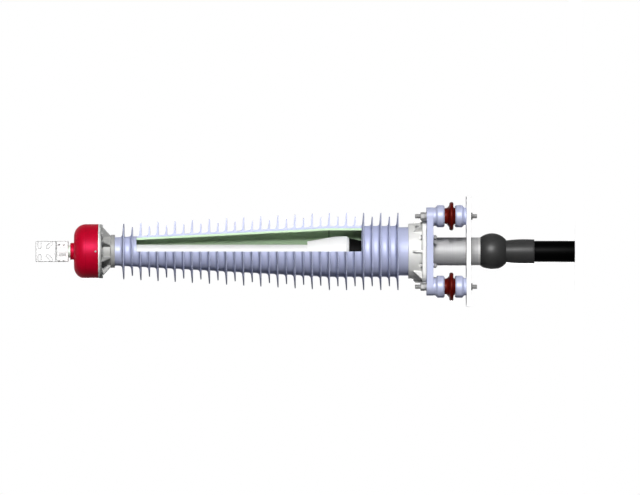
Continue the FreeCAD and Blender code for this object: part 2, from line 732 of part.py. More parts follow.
def head_bolts():
    head = hexagon(M8_FLATS, HEAD_FLANGE_UNDERSIDE - M8_HEAD_HEIGHT, HEAD_FLANGE_UNDERSIDE)
    shank = rod(M8_R, HEAD_FLANGE_UNDERSIDE, COVER_UNDERSIDE + M8_THREAD - THREAD_RELIEF)
    bolt = head.fuse(shank).removeSplitter()
    return on_places(bolt, circle_places(HEAD_BOLT_CIRCLE_R, HEAD_BOLT_COUNT))


def screw_turns():
    return [360.0 * i / SHIELD_SCREW_COUNT for i in range(SHIELD_SCREW_COUNT)]


def radial_rod(radius, inner, outer, height):
    """A rod that points at the front, square to the axis."""
    return Part.makeCylinder(
        radius, outer - inner, FreeCAD.Vector(0, -inner, height), FreeCAD.Vector(0, -1, 0)
    )


def cover_plate():
    """Plate on the head fitting, with a spigot inside the shield's skirt."""
    outline = Outline(TERMINAL_R + FIT, COVER_UNDERSIDE)
    outline.line(HEAD_FLANGE_R, COVER_UNDERSIDE)
    outline.line(HEAD_FLANGE_R, COVER_TOP)
    outline.line(SPIGOT_R, COVER_TOP)
    outline.line(SPIGOT_R, COVER_TOP + SPIGOT_HEIGHT)
    outline.line(SPIGOT_R - SPIGOT_WALL, COVER_TOP + SPIGOT_HEIGHT)
    outline.line(SPIGOT_R - SPIGOT_WALL, COVER_TOP)
    outline.line(TERMINAL_R + FIT, COVER_TOP)
    thread = rod(M8_R + FIT, COVER_UNDERSIDE, COVER_UNDERSIDE + M8_THREAD)
    tools = [moved(thread, x, y) for x, y in circle_places(HEAD_BOLT_CIRCLE_R, HEAD_BOLT_COUNT)]
    screw_hole = radial_rod(M5_R + FIT, SHIELD_R - M5_LENGTH - FIT, SHIELD_R, COVER_TOP + SHIELD_SCREW_HEIGHT)
    tools += [turned_by(screw_hole, turn) for turn in screw_turns()]
    return cut_all(outline.turned(), tools)


def corona_shield():
    """Spun shell, open at the bottom, with a large round shoulder and a bore for the stud."""
    shoulder = SHIELD_TOP - SHIELD_SHOULDER_R
    flat_r = SHIELD_R - SHIELD_SHOULDER_R
    inner_r = SHIELD_R - SHIELD_WALL
    bore_r = TERMINAL_R + FIT
    outline = Outline(SHIELD_R, COVER_TOP)
    outline.line(SHIELD_R, shoulder)
    outline.arc(flat_r, shoulder, flat_r, SHIELD_TOP)
    outline.line(bore_r, SHIELD_TOP)
    outline.line(bore_r, SHIELD_TOP - SHIELD_WALL)
    outline.line(flat_r, SHIELD_TOP - SHIELD_WALL)
    outline.arc(flat_r, shoulder, inner_r, shoulder)
    outline.line(inner_r, COVER_TOP)
    hole = radial_rod(
        M5_R + FIT, inner_r - CUT_OVERRUN, SHIELD_R + CUT_OVERRUN, COVER_TOP + SHIELD_SCREW_HEIGHT
    )
    return cut_all(outline.turned(), [turned_by(hole, turn) for turn in screw_turns()])


def shield_screws():
    height = COVER_TOP + SHIELD_SCREW_HEIGHT
    shank = radial_rod(M5_R, SHIELD_R - M5_LENGTH, SHIELD_R, height)
    head = radial_rod(M5_HEAD_R, SHIELD_R, SHIELD_R + M5_HEAD_HEIGHT, height)
    screw = head.fuse(shank)
    return Part.makeCompound([turned_by(screw, turn) for turn in screw_turns()])


def shield_neck_ring():
    outline = Outline(TERMINAL_R + FIT, SHIELD_TOP)
    outline.line(NECK_RING_R, SHIELD_TOP)
    outline.line(NECK_RING_R, NECK_RING_TOP - NECK_RING_CHAMFER)
    outline.line(NECK_RING_R - NECK_RING_CHAMFER, NECK_RING_TOP)
    outline.line(TERMINAL_R + FIT, NECK_RING_TOP)
    return outline.turned()


def terminal_stud():
    """Stud from the crimp on the conductor, through the cover plate, to the inside of the palm's clamp."""
    outline = Outline(CONDUCTOR_R + FIT, CRIMP_FOOT)
    outline.line(CRIMP_R, CRIMP_FOOT)
    outline.line(CRIMP_R, COVER_UNDERSIDE - SHOULDER_HEIGHT)
    outline.line(SHOULDER_R, COVER_UNDERSIDE - SHOULDER_HEIGHT)
    outline.line(SHOULDER_R, COVER_UNDERSIDE)
    outline.line(TERMINAL_R, COVER_UNDERSIDE)
    outline.line(TERMINAL_R, PALM_FOOT + STUD_INSERT)
    outline.line(0, PALM_FOOT + STUD_INSERT)
    outline.line(0, CRIMP_FOOT + CRIMP_DEPTH)
    outline.line(CONDUCTOR_R + FIT, CRIMP_FOOT + CRIMP_DEPTH)
    return outline.turned()


def stud_lock_nut():
    return nut(LOCK_NUT_FLATS, TERMINAL_R + FIT, COVER_TOP, COVER_TOP + LOCK_NUT_HEIGHT)


def slot_through(width, length, x, z, tilt_deg):
    """A round-ended slot through the pad. It runs along X, turned about its centre towards -Z by the tilt."""
    straight = length - width
    depth = CLAMP_SPLIT / 2 + PAD_THICKNESS + CUT_OVERRUN
    slot = Part.makeBox(straight, depth, width, FreeCAD.Vector(-straight / 2, 0, -width / 2))
    ends = [
        Part.makeCylinder(
            width / 2, depth, FreeCAD.Vector(side * straight / 2, 0, 0), FreeCAD.Vector(0, 1, 0)
        )
        for side in (-1, 1)
    ]
    slot = slot.fuse(ends).removeSplitter()
    slot.rotate(FreeCAD.Vector(0, 0, 0), FreeCAD.Vector(0, 1, 0), tilt_deg)
    return moved(slot, x, 0, z)


def screw_places():
    return [(side * SCREW_OFFSET, PALM_FOOT + up) for side in (-1, 1) for up in (SCREW_LOW, SCREW_HIGH)]


def across_rod(radius, near, far, x, z):
    """A rod square to the pad's face, between two depths."""
    return Part.makeCylinder(radius, far - near, FreeCAD.Vector(x, near, z), FreeCAD.Vector(0, 1, 0))


def side_corners(block, height):
    """The edges that run from front to back at a block's two sides, at the given height."""
    return [
        edge
        for edge in block.Edges
        if edge.BoundBox.YLength > SAME
        and edge.BoundBox.ZLength < SAME
        and abs(edge.BoundBox.ZMin - height) < SAME
    ]


def clamp_block(near, far):
    """The clamp's block between two depths, with round corners at its foot."""
    corner = FreeCAD.Vector(-PALM_WIDTH / 2, near, PALM_FOOT)
    block = Part.makeBox(PALM_WIDTH, far - near, CLAMP_LENGTH, corner)
    return block.makeFillet(CLAMP_CORNER_R, side_corners(block, PALM_FOOT))


def clamp_bore():
    return rod(TERMINAL_R + FIT, PALM_FOOT, PALM_FOOT + STUD_INSERT + FIT)


def terminal_palm():
    """Pad and rear half of the clamp, one casting with a flat front."""
    front = CLAMP_SPLIT / 2
    corner = FreeCAD.Vector(-PALM_WIDTH / 2, front, PAD_FOOT)
    pad = Part.makeBox(PALM_WIDTH, PAD_THICKNESS, PAD_LENGTH, corner)
    pad = pad.makeFillet(PAD_CORNER_R, side_corners(pad, PALM_TOP))
    tools = [clamp_bore()]
    for side in (-1, 1):
        tools.append(
            slot_through(SLOT_WIDTH, SLOT_LENGTH, side * SLOT_SPACING / 2, PALM_TOP - SLOT_FROM_END, 0)
        )
        tools.append(
            slot_through(
                CROSS_SLOT_WIDTH,
                CROSS_SLOT_LENGTH,
                side * CROSS_SLOT_OFFSET,
                PALM_TOP - CROSS_SLOT_FROM_END,
                side * CROSS_SLOT_TILT_DEG,
            )
        )
    tools += [across_rod(M8_R + FIT, 0, SCREW_THREAD, x, z) for x, z in screw_places()]
    return cut_all(clamp_block(front, CLAMP_DEPTH).fuse(pad).removeSplitter(), tools)


def palm_keeper():
    """Front half of the clamp, with a sloped upper edge and a round saddle over the stud."""
    split = -CLAMP_SPLIT / 2
    keeper = clamp_block(-KEEPER_DEPTH, split)
    top_front = [
        edge
        for edge in keeper.Edges
        if abs(edge.BoundBox.YMax + KEEPER_DEPTH) < SAME and abs(edge.BoundBox.ZMin - PAD_FOOT) < SAME
    ]
    keeper = keeper.makeChamfer(KEEPER_CHAMFER, top_front)
    saddle_foot = PALM_FOOT + SADDLE_START
    saddle = rod(CLAMP_DEPTH, saddle_foot, saddle_foot + SADDLE_LENGTH)
    corner = FreeCAD.Vector(-PALM_WIDTH / 2, split - CLAMP_DEPTH, PALM_FOOT)
    front_half = Part.makeBox(PALM_WIDTH, CLAMP_DEPTH, CLAMP_LENGTH, corner)
    tools = [clamp_bore()]
    tools += [across_rod(M8_R + BOLT_CLEARANCE, -KEEPER_DEPTH, split, x, z) for x, z in screw_places()]
    return cut_all(keeper.fuse(saddle.common(front_half)).removeSplitter(), tools)


def palm_screws():
    pieces = []
    for x, z in screw_places():
        head = across_rod(SCREW_HEAD_R, -KEEPER_DEPTH - SCREW_HEAD_HEIGHT, -KEEPER_DEPTH, x, z)
        shank = across_rod(M8_R, -KEEPER_DEPTH, SCREW_THREAD - THREAD_RELIEF, x, z)
        pieces.append(head.fuse(shank).removeSplitter())
    return Part.makeCompound(pieces)


def build():
    """Every piece by its name."""
    pieces = {
        "support_plate": support_plate(),
        "base_plate": base_plate(),
        "bottom_fitting": bottom_fitting(),
        "base_gasket": ring(
            RIM_GASKET_R, RIM_GASKET_R + RIM_GASKET_WIDTH, BASE_TOP, BASE_TOP + RIM_GASKET_DEPTH - FIT
        ),
        "silicone_housing": silicone_housing(),
        "frp_tube": frp_tube(),
        "stress_cone": stress_cone(),
        "field_deflector": field_deflector(),
        "entrance_tube": entrance_tube(),
        "wiped_bulb": wiped_bulb(),
        "shrink_sleeve": shrink_sleeve(),
        "head_fitting": head_fitting(),
        "head_bolts": head_bolts(),
        "cover_gasket": ring(
            HEAD_GASKET_R,
            HEAD_GASKET_R + HEAD_GASKET_WIDTH,
            COVER_UNDERSIDE - HEAD_GASKET_DEPTH + FIT,
            COVER_UNDERSIDE,
        ),
        "cover_plate": cover_plate(),
        "corona_shield": corona_shield(),
        "shield_screws": shield_screws(),
        "shield_neck_ring": shield_neck_ring(),
        "terminal_stud": terminal_stud(),
        "stud_lock_nut": stud_lock_nut(),
        "terminal_palm": terminal_palm(),
        "palm_keeper": palm_keeper(),
        "palm_screws": palm_screws(),
    }
    pieces.update(standoffs())
    pieces.update(cable_layers())
    for fixings in (upper_fixings(), lower_fixings()):
        for name, shape in fixings.items():
            pieces[name] = on_places(shape, STANDOFF_PLACES)
    for name, shape in flange_fixings().items():
        pieces[name] = on_places(shape, flange_bolt_places())
    return pieces


def main():
    os.makedirs("parts", exist_ok=True)
    for name, shape in build().items():
        shape.exportStep(os.path.join("parts", name + ".step"))
        print(name, len(shape.Solids), "solid(s)", round(shape.Volume), "mm3", shape.isValid())


main()
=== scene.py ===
"""The finished look of an outdoor cable termination, shown as a sectioned display unit.

The pieces stand upright in the frame, with +Z up the axis and the front at -Y. The camera looks at the front
and is rolled, so that the head is at the left of the picture.
"""

import json
import logging
import math
from contextlib import contextmanager
from dataclasses import dataclass
from enum import Enum
from functools import cached_property
from typing import Callable, Iterable, Iterator, Sequence

import bpy
from mathutils import Matrix, Vector

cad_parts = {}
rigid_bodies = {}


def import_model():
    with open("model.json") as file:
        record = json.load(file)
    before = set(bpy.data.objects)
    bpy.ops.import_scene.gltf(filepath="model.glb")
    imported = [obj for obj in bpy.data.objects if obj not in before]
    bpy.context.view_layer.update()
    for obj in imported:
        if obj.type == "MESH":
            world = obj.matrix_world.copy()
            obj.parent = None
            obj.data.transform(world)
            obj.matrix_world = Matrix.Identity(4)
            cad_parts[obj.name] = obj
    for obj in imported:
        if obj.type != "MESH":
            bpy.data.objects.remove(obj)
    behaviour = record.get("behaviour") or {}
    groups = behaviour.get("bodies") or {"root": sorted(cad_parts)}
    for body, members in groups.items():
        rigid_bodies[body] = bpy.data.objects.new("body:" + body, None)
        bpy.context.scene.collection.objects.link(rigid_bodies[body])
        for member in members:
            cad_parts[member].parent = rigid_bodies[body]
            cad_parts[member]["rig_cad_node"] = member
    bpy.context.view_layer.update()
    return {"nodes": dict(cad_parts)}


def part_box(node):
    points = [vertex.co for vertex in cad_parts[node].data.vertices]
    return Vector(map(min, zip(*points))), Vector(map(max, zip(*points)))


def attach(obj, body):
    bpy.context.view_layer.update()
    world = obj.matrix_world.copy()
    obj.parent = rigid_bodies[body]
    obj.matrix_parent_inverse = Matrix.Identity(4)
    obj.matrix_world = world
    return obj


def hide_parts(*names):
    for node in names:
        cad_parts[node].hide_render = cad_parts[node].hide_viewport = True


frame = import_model()

log = logging.getLogger("termination")

MM = 0.001
BODY = "root"
WELD = 0.002 * MM
PLAY = 0.1 * MM
OVERSHOOT = 1 * MM
HAIR = 0.01 * MM
SMOOTH_BELOW = math.radians(32)
FLAT_WEIGHT = 100
THREAD_DEPTH = 0.6
THREAD_STEPS = 28
HEX_FACE = 0.48
HEX_DROP = 0.55
HEX_LEAD = 0.06
NOISE_LOW = 0.3
NOISE_HIGH = 0.7
TERMINAL_R = 28.7 * MM
CABLE_END = -473.54 * MM
CONE_FOOT = 643 * MM
CONE_HEAD = 1601 * MM
STUD_SQUARE_HALF = 160 * MM
STUD_HOLE_R = 10.75 * MM
AXIS = (Matrix.Identity(4),)
LAVENDER = (177, 182, 208)
LAVENDER_SHADE = (173, 178, 204)

Mesh = bpy.types.Object
Socket = bpy.types.NodeSocket
Point = tuple[float, ...]
Spot = tuple[float, float, float]
Shown = int | tuple[int, int, int]
Noise = tuple[float, float] | tuple[float, float, Spot]
Layers = Sequence[tuple[Socket, float]]
Inputs = dict[int | str, object]
EdgeTest = Callable[[Vector, Vector], bool]
Places = Iterable[Matrix]


class Cut(Enum):
    """What a tool piece does to the piece that it meets."""

    JOIN = "UNION"
    REMOVE = "DIFFERENCE"
    KEEP = "INTERSECT"


class Thread(Enum):
    """A standard thread, with its outer radius and its rise in one turn."""

    M8 = (4 * MM, 1.25 * MM)
    M12 = (6 * MM, 1.75 * MM)
    M20 = (10 * MM, 2.5 * MM)

    @property
    def bore_r(self) -> float:
        """The radius of a bore with play round the thread."""
        return self.value[0] + PLAY


def display(shown: Shown) -> Point:
    """Turns a grey or colour that a screen shows, from 0 to 255, into light values for a shader."""
    parts = [part / 255 for part in (shown if isinstance(shown, tuple) else (shown,) * 3)]
    return tuple(part / 12.92 if part <= 0.04045 else ((part + 0.055) / 1.055) ** 2.4 for part in parts)


def deselect_all() -> None:
    """Leaves nothing selected, CAD nodes included."""
    for thing in bpy.context.selected_objects:
        thing.select_set(False)


def activate(piece: Mesh) -> None:
    """Makes a piece the only selected and the active one.

    Args:
        piece: the piece to work on.
    """
    deselect_all()
    piece.select_set(True)
    bpy.context.view_layer.objects.active = piece


@contextmanager
def editing(piece: Mesh) -> Iterator[None]:
    """Opens a piece in edit mode with all of it selected, and leaves edit mode afterwards.

    Args:
        piece: the piece to edit.
    """
    activate(piece)
    bpy.ops.object.mode_set(mode="EDIT")
    bpy.ops.mesh.select_all(action="SELECT")
    yield
    bpy.ops.object.mode_set(mode="OBJECT")


def shaped(piece: Mesh, kind: str, **settings: object) -> Mesh:
    """Shapes a piece with a modifier, which is applied.

    Args:
        piece: the piece to shape.
        kind: the modifier's kind.
        settings: its settings by name.

    Returns:
        The same piece.
    """
    modifier = piece.modifiers.new(kind.lower(), kind)
    for name, value in settings.items():
        setattr(modifier, name, value)
    activate(piece)
    bpy.ops.object.modifier_apply(modifier=modifier.name)
    return piece


def settle(piece: Mesh, name: str) -> Mesh:
    """Puts a piece's place, turn and scale in its mesh, and names it.

    Args:
        piece: the piece to settle.
        name: its new name.

    Returns:
        The same piece.
    """
    activate(piece)
    bpy.ops.object.transform_apply(location=True, rotation=True, scale=True)
    piece.name = name
    piece.data.name = name
    return piece


def weld(piece: Mesh, outward: bool = True) -> Mesh:
    """Merges doubled points.

    Args:
        piece: a closed mesh.
        outward: whether its faces are turned outwards too.

    Returns:
        The same piece.
    """
    with editing(piece):
        bpy.ops.mesh.remove_doubles(threshold=WELD)
        if outward:
            bpy.ops.mesh.normals_make_consistent(inside=False)
    return piece


def round_corners(corners: Sequence[Point], step_deg: float) -> list[Point]:
    """Works out the points of an outline whose corners are rounded by arcs.

    Args:
        corners: each as (radius, height), or as (radius, height, rounding) where it is rounded.
        step_deg: the largest turn from one arc point to the next.

    Returns:
        Points as (radius, height).
    """
    points: list[Point] = []
    for index, corner in enumerate(corners):
        here = Vector(corner[:2])
        if len(corner) == 2:
            points.append(tuple(here))
            continue
        back = (Vector(corners[index - 1][:2]) - here).normalized()
        ahead = (Vector(corners[(index + 1) % len(corners)][:2]) - here).normalized()
        half = back.angle(ahead) / 2
        centre = here + (back + ahead).normalized() * (corner[2] / math.sin(half))
        start = here + back * (corner[2] / math.tan(half)) - centre
        sweep = math.copysign(math.pi - 2 * half, -back.cross(ahead))
        steps = max(2, math.ceil(math.degrees(abs(sweep)) / step_deg))
        turns = [sweep * step / steps for step in range(steps + 1)]
        points += [tuple(centre + Matrix.Rotation(turn, 2) @ start) for turn in turns]
    return points


def drawn_line(name: str, points: Sequence[Point]) -> Mesh:
    """Draws a line in the plane of X and Z by extruding one point along it.

    Args:
        name: the new object's name.
        points: the line as (radius, height).

    Returns:
        An object with edges only, at the origin.
    """
    deselect_all()
    bpy.ops.mesh.primitive_plane_add(size=MM, location=(points[0][0], 0, points[0][1]))
    bpy.ops.object.mode_set(mode="EDIT")
    bpy.ops.mesh.select_mode(type="VERT")
    bpy.ops.mesh.merge(type="CENTER")
    for here, there in zip(points, points[1:]):
        step = (there[0] - here[0], 0, there[1] - here[1])
        bpy.ops.mesh.extrude_vertices_move(TRANSFORM_OT_translate={"value": step})
    bpy.ops.object.mode_set(mode="OBJECT")
    return settle(bpy.context.active_object, name)


def turned(name: str, corners: Sequence[Point], steps: int = 96, step_deg: float = 22.5) -> Mesh:
    """Turns an outline round the upright axis through the origin.

    Args:
        name: the new object's name.
        corners: the outline's corners. It is closed, unless it starts and ends on the axis.
        steps: how many stretches a full turn has.
        step_deg: the largest turn from one point of a rounded corner to the next.

    Returns:
        A closed mesh at the origin.
    """
    points = round_corners(corners, step_deg)
    if corners[0][0] > 0 or corners[-1][0] > 0:
        points.append(points[0])
    piece = drawn_line(name, points)
    with editing(piece):
        bpy.ops.mesh.spin(steps=steps, angle=2 * math.pi, center=(0, 0, 0), axis=(0, 0, 1))
    return weld(piece)


def combine(piece: Mesh, tool: Mesh, cut: Cut) -> None:
    """Joins, cuts or trims a piece with a tool piece, which is used up."""
    shaped(piece, "BOOLEAN", operation=cut.value, solver="EXACT", object=tool)
    bpy.data.objects.remove(tool, do_unlink=True)


def block(name: str, low: Spot, high: Spot) -> Mesh:
    """Makes a rough block between two corners, ready to be shaped.

    Args:
        name: the new object's name.
        low, high: its lowest and highest corner.

    Returns:
        The block, with its place in its mesh.
    """
    first, last = Vector(low), Vector(high)
    deselect_all()
    bpy.ops.mesh.primitive_cube_add(size=1, location=(first + last) / 2)
    piece = bpy.context.active_object
    piece.scale = last - first
    return settle(piece, name)


def along(axis: int, **at: float) -> EdgeTest:
    """Makes a test for edges that run along one axis.

    Args:
        axis: 0 for X, 1 for Y or 2 for Z.
        at: where both ends lie on other axes, by the axes' names.

    Returns:
        The test, which takes an edge's two ends.
    """

    def test(first: Vector, second: Vector) -> bool:
        """Says whether an edge is one of them.

        Args:
            first, second: the edge's ends.

        Returns:
            Whether it is.
        """
        ends = (first, second)
        fits = all(abs(getattr(end, name) - place) < WELD for end in ends for name, place in at.items())
        return fits and abs(first[axis] - second[axis]) > WELD

    return test


def bevel_edges(piece: Mesh, test: EdgeTest, offset: float, segments: int) -> None:
    """Bevels the sharp edges that a test picks, in the last finish that the piece has by then.

    Args:
        piece: the piece to shape.
        test: takes an edge's two ends and says whether it is bevelled.
        offset: the bevel's width.
        segments: how many faces it has.
    """
    with editing(piece):
        bpy.ops.mesh.select_mode(type="EDGE")
        bpy.ops.mesh.select_all(action="DESELECT")
    mesh = piece.data
    sides: dict[tuple[int, int], list[Vector]] = {}
    for face in mesh.polygons:
        for key in face.edge_keys:
            sides.setdefault(key, []).append(face.normal)
    for edge in mesh.edges:
        first, second = (mesh.vertices[index].co for index in edge.vertices)
        normals = sides[edge.key]
        bent = len(normals) == 2 and normals[0].angle(normals[1], 0) > SMOOTH_BELOW
        edge.select = bent and test(first, second)
    bpy.ops.object.mode_set(mode="EDIT")
    last = len(mesh.materials) - 1
    bpy.ops.mesh.bevel(offset=offset, segments=segments, affect="EDGES", clamp_overlap=False, material=last)
    bpy.ops.mesh.select_mode(type="VERT")
    bpy.ops.object.mode_set(mode="OBJECT")


def soften(piece: Mesh, width: float, segments: int = 3, from_deg: float = 40) -> None:
    """Rounds every sharp edge of a piece, in the last finish that it has by then.

    Args:
        piece: the piece to soften.
        width: how wide each rounding is.
        segments: how many faces it has.
        from_deg: the smallest angle of an edge that is rounded.
    """
    edges = {"width": width, "segments": segments, "use_clamp_overlap": False}
    limit = {"limit_method": "ANGLE", "angle_limit": math.radians(from_deg)}
    shaped(piece, "BEVEL", material=len(piece.data.materials) - 1, **edges, **limit)


def duplicate(piece: Mesh, name: str, place: Matrix) -> Mesh:
    """Copies a piece to another place, with a mesh of its own.

    Args:
        piece: the piece to copy.
        name: the copy's name.
        place: where the copy goes.

    Returns:
        The copy, with its place in its mesh.
    """
    activate(piece)
    bpy.ops.object.duplicate(linked=False)
    copy = bpy.context.active_object
    copy.matrix_world = place @ copy.matrix_world
    return settle(copy, name)


def joined(pieces: Sequence[Mesh], name: str) -> Mesh:
    """Joins several pieces into one object of separate shells.

    Args:
        pieces: the pieces to join.
        name: the joined object's name.

    Returns:
        The joined object.
    """
    activate(pieces[0])
    for piece in pieces[1:]:
        piece.select_set(True)
    bpy.ops.object.join()
    return settle(bpy.context.active_object, name)


def group_at(model: Mesh, name: str, places: Places) -> Mesh:
    """Copies a model to each place and joins the copies. The model is used up.

    Args:
        model: the piece that repeats.
        name: the group's name.
        places: where each copy goes.

    Returns:
        The group as one object.
    """
    copies = [duplicate(model, f"{name}_{number}", place) for number, place in enumerate(places)]
    bpy.data.objects.remove(model, do_unlink=True)
    return joined(copies, name)


def drill(piece: Mesh, radius: float, low: float, high: float, places: Places, steps: int = 48) -> None:
    """Cuts a round hole between two heights into a piece, at each of the places."""
    hole = turned("hole", [(0, low), (radius, low), (radius, high), (0, high)], steps)
    combine(piece, group_at(hole, "holes", places), Cut.REMOVE)


def cast(node: str, name: str, voxel: float) -> Mesh:
    """Makes a casting of a CAD node: all its edges and inner corners become small fillets.

    Args:
        node: the CAD node's name.
        name: the casting's name.
        voxel: the size of the grid that it is poured into.

    Returns:
        The casting, which isn't a CAD node any more.
    """
    activate(frame["nodes"][node])
    bpy.ops.object.duplicate(linked=False)
    piece = bpy.context.active_object
    del piece["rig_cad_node"]
    piece.parent = None
    settle(piece, name)
    bpy.ops.mesh.customdata_custom_splitnormals_clear()
    weld(piece, outward=False)
    shaped(piece, "REMESH", mode="VOXEL", voxel_size=voxel)
    return shaped(piece, "SMOOTH", factor=0.5, iterations=4)


def threaded_rod(name: str, thread: Thread, bottom: float, top: float) -> Mesh:
    """Makes a rod with a helical thread, cut square at both ends.

    Args:
        name: the rod's name.
        thread: its thread.
        bottom, top: heights of the rod's ends.

    Returns:
        A closed mesh round the axis.
    """
    radius, pitch = thread.value
    root_r = radius - THREAD_DEPTH * pitch
    # A tooth has a flat root, a slope and a narrow crest. The line passes both ends, where it is cut off.
    tooth = ((0.0, root_r), (0.2, root_r), (0.55, radius), (0.7, radius))
    turns = math.ceil((top - bottom) / pitch) + 2
    starts = [(turn - 1.5 + share, edge_r) for turn in range(turns) for share, edge_r in tooth]
    points = [(edge_r, bottom + start * pitch) for start, edge_r in starts]
    turning = {"screw_offset": pitch, "steps": THREAD_STEPS, "render_steps": THREAD_STEPS}
    piece = weld(shaped(drawn_line(name, points), "SCREW", **turning))
    for height, upward in ((bottom, False), (top, True)):
        ends = {"use_fill": True, "clear_inner": not upward, "clear_outer": upward}
        with editing(piece):
            bpy.ops.mesh.bisect(plane_co=(0, 0, height), plane_no=(0, 0, 1), **ends)
    return weld(piece)


def hexagon(name: str, flats: float, bottom: float, top: float, bore_r: float = 0.0) -> Mesh:
    """Makes a hexagon nut or bolt head with turned chamfers, and two flats square to X.

    Args:
        name: the new object's name.
        flats: the width across its flats.
        bottom, top: its heights.
        bore_r: the bore's radius, or nothing for a bolt head.

    Returns:
        A closed mesh round the axis.
    """
    corner_r = flats / math.sqrt(3)
    edge_r = corner_r + 0.3 * MM
    face_r = HEX_FACE * flats
    drop = HEX_DROP * (corner_r - face_r)
    lead = HEX_LEAD * bore_r
    mouth = bore_r + lead
    deselect_all()
    middle = (0, 0, (top + bottom) / 2)
    bpy.ops.mesh.primitive_cylinder_add(vertices=6, radius=corner_r, depth=top - bottom, location=middle)
    piece = settle(bpy.context.active_object, name)
    inside = [(0, top), (0, bottom)]
    if bore_r > 0:
        inside = [(mouth, top), (bore_r, top - lead), (bore_r, bottom + lead), (mouth, bottom)]
    outside = [(face_r, bottom), (edge_r, bottom + drop), (edge_r, top - drop), (face_r, top)]
    combine(piece, turned("blank", inside + outside), Cut.KEEP)
    weld(piece, outward=False)
    soften(piece, 0.35 * MM, segments=2, from_deg=50)
    return piece


def bolt(name: str, thread: Thread, flats: float, end: float, seat: float, head: float) -> Mesh:
    """Makes an upright bolt.

    Args:
        name: the bolt's name.
        thread: its thread.
        flats: the width across the head's flats.
        end: the height where the thread ends.
        seat: the height of the head's seat.
        head: how thick the head is.

    Returns:
        Head and thread as one object, with the head away from the thread's end.
    """
    top = seat + math.copysign(head, seat - end)
    shell = hexagon("head", flats, min(seat, top), max(seat, top))
    shank = threaded_rod("shank", thread, min(seat, end), max(seat, end))
    return joined([shell, shank], name)


def washer(bore_r: float, outer_r: float, low: float, high: float, edge: float, steps: int) -> Mesh:
    """Turns a washer between two heights, with its outer edges rounded."""
    corners = [(bore_r, low), (outer_r, low, edge), (outer_r, high, edge), (bore_r, high)]
    return turned("washer", corners, steps)


def circle_places(radius: float, count: int, first_deg: float = 0.0) -> list[Matrix]:
    """Lists places round the axis that face outwards, the first at an angle from the front towards +X."""
    turns = [math.radians(first_deg + 360 * index / count) for index in range(count)]
    return [Matrix.Rotation(turn, 4, "Z") @ Matrix.Translation((0, -radius, 0)) for turn in turns]


def square_places() -> list[Matrix]:
    """Lists the places of the stand-offs' studs, in the order of the stand-offs' numbers.

    Returns:
        One matrix for each place.
    """
    half = STUD_SQUARE_HALF
    corners = ((half, -half), (-half, -half), (-half, half), (half, half))
    return [Matrix.Translation((x, y, 0)) for x, y in corners]


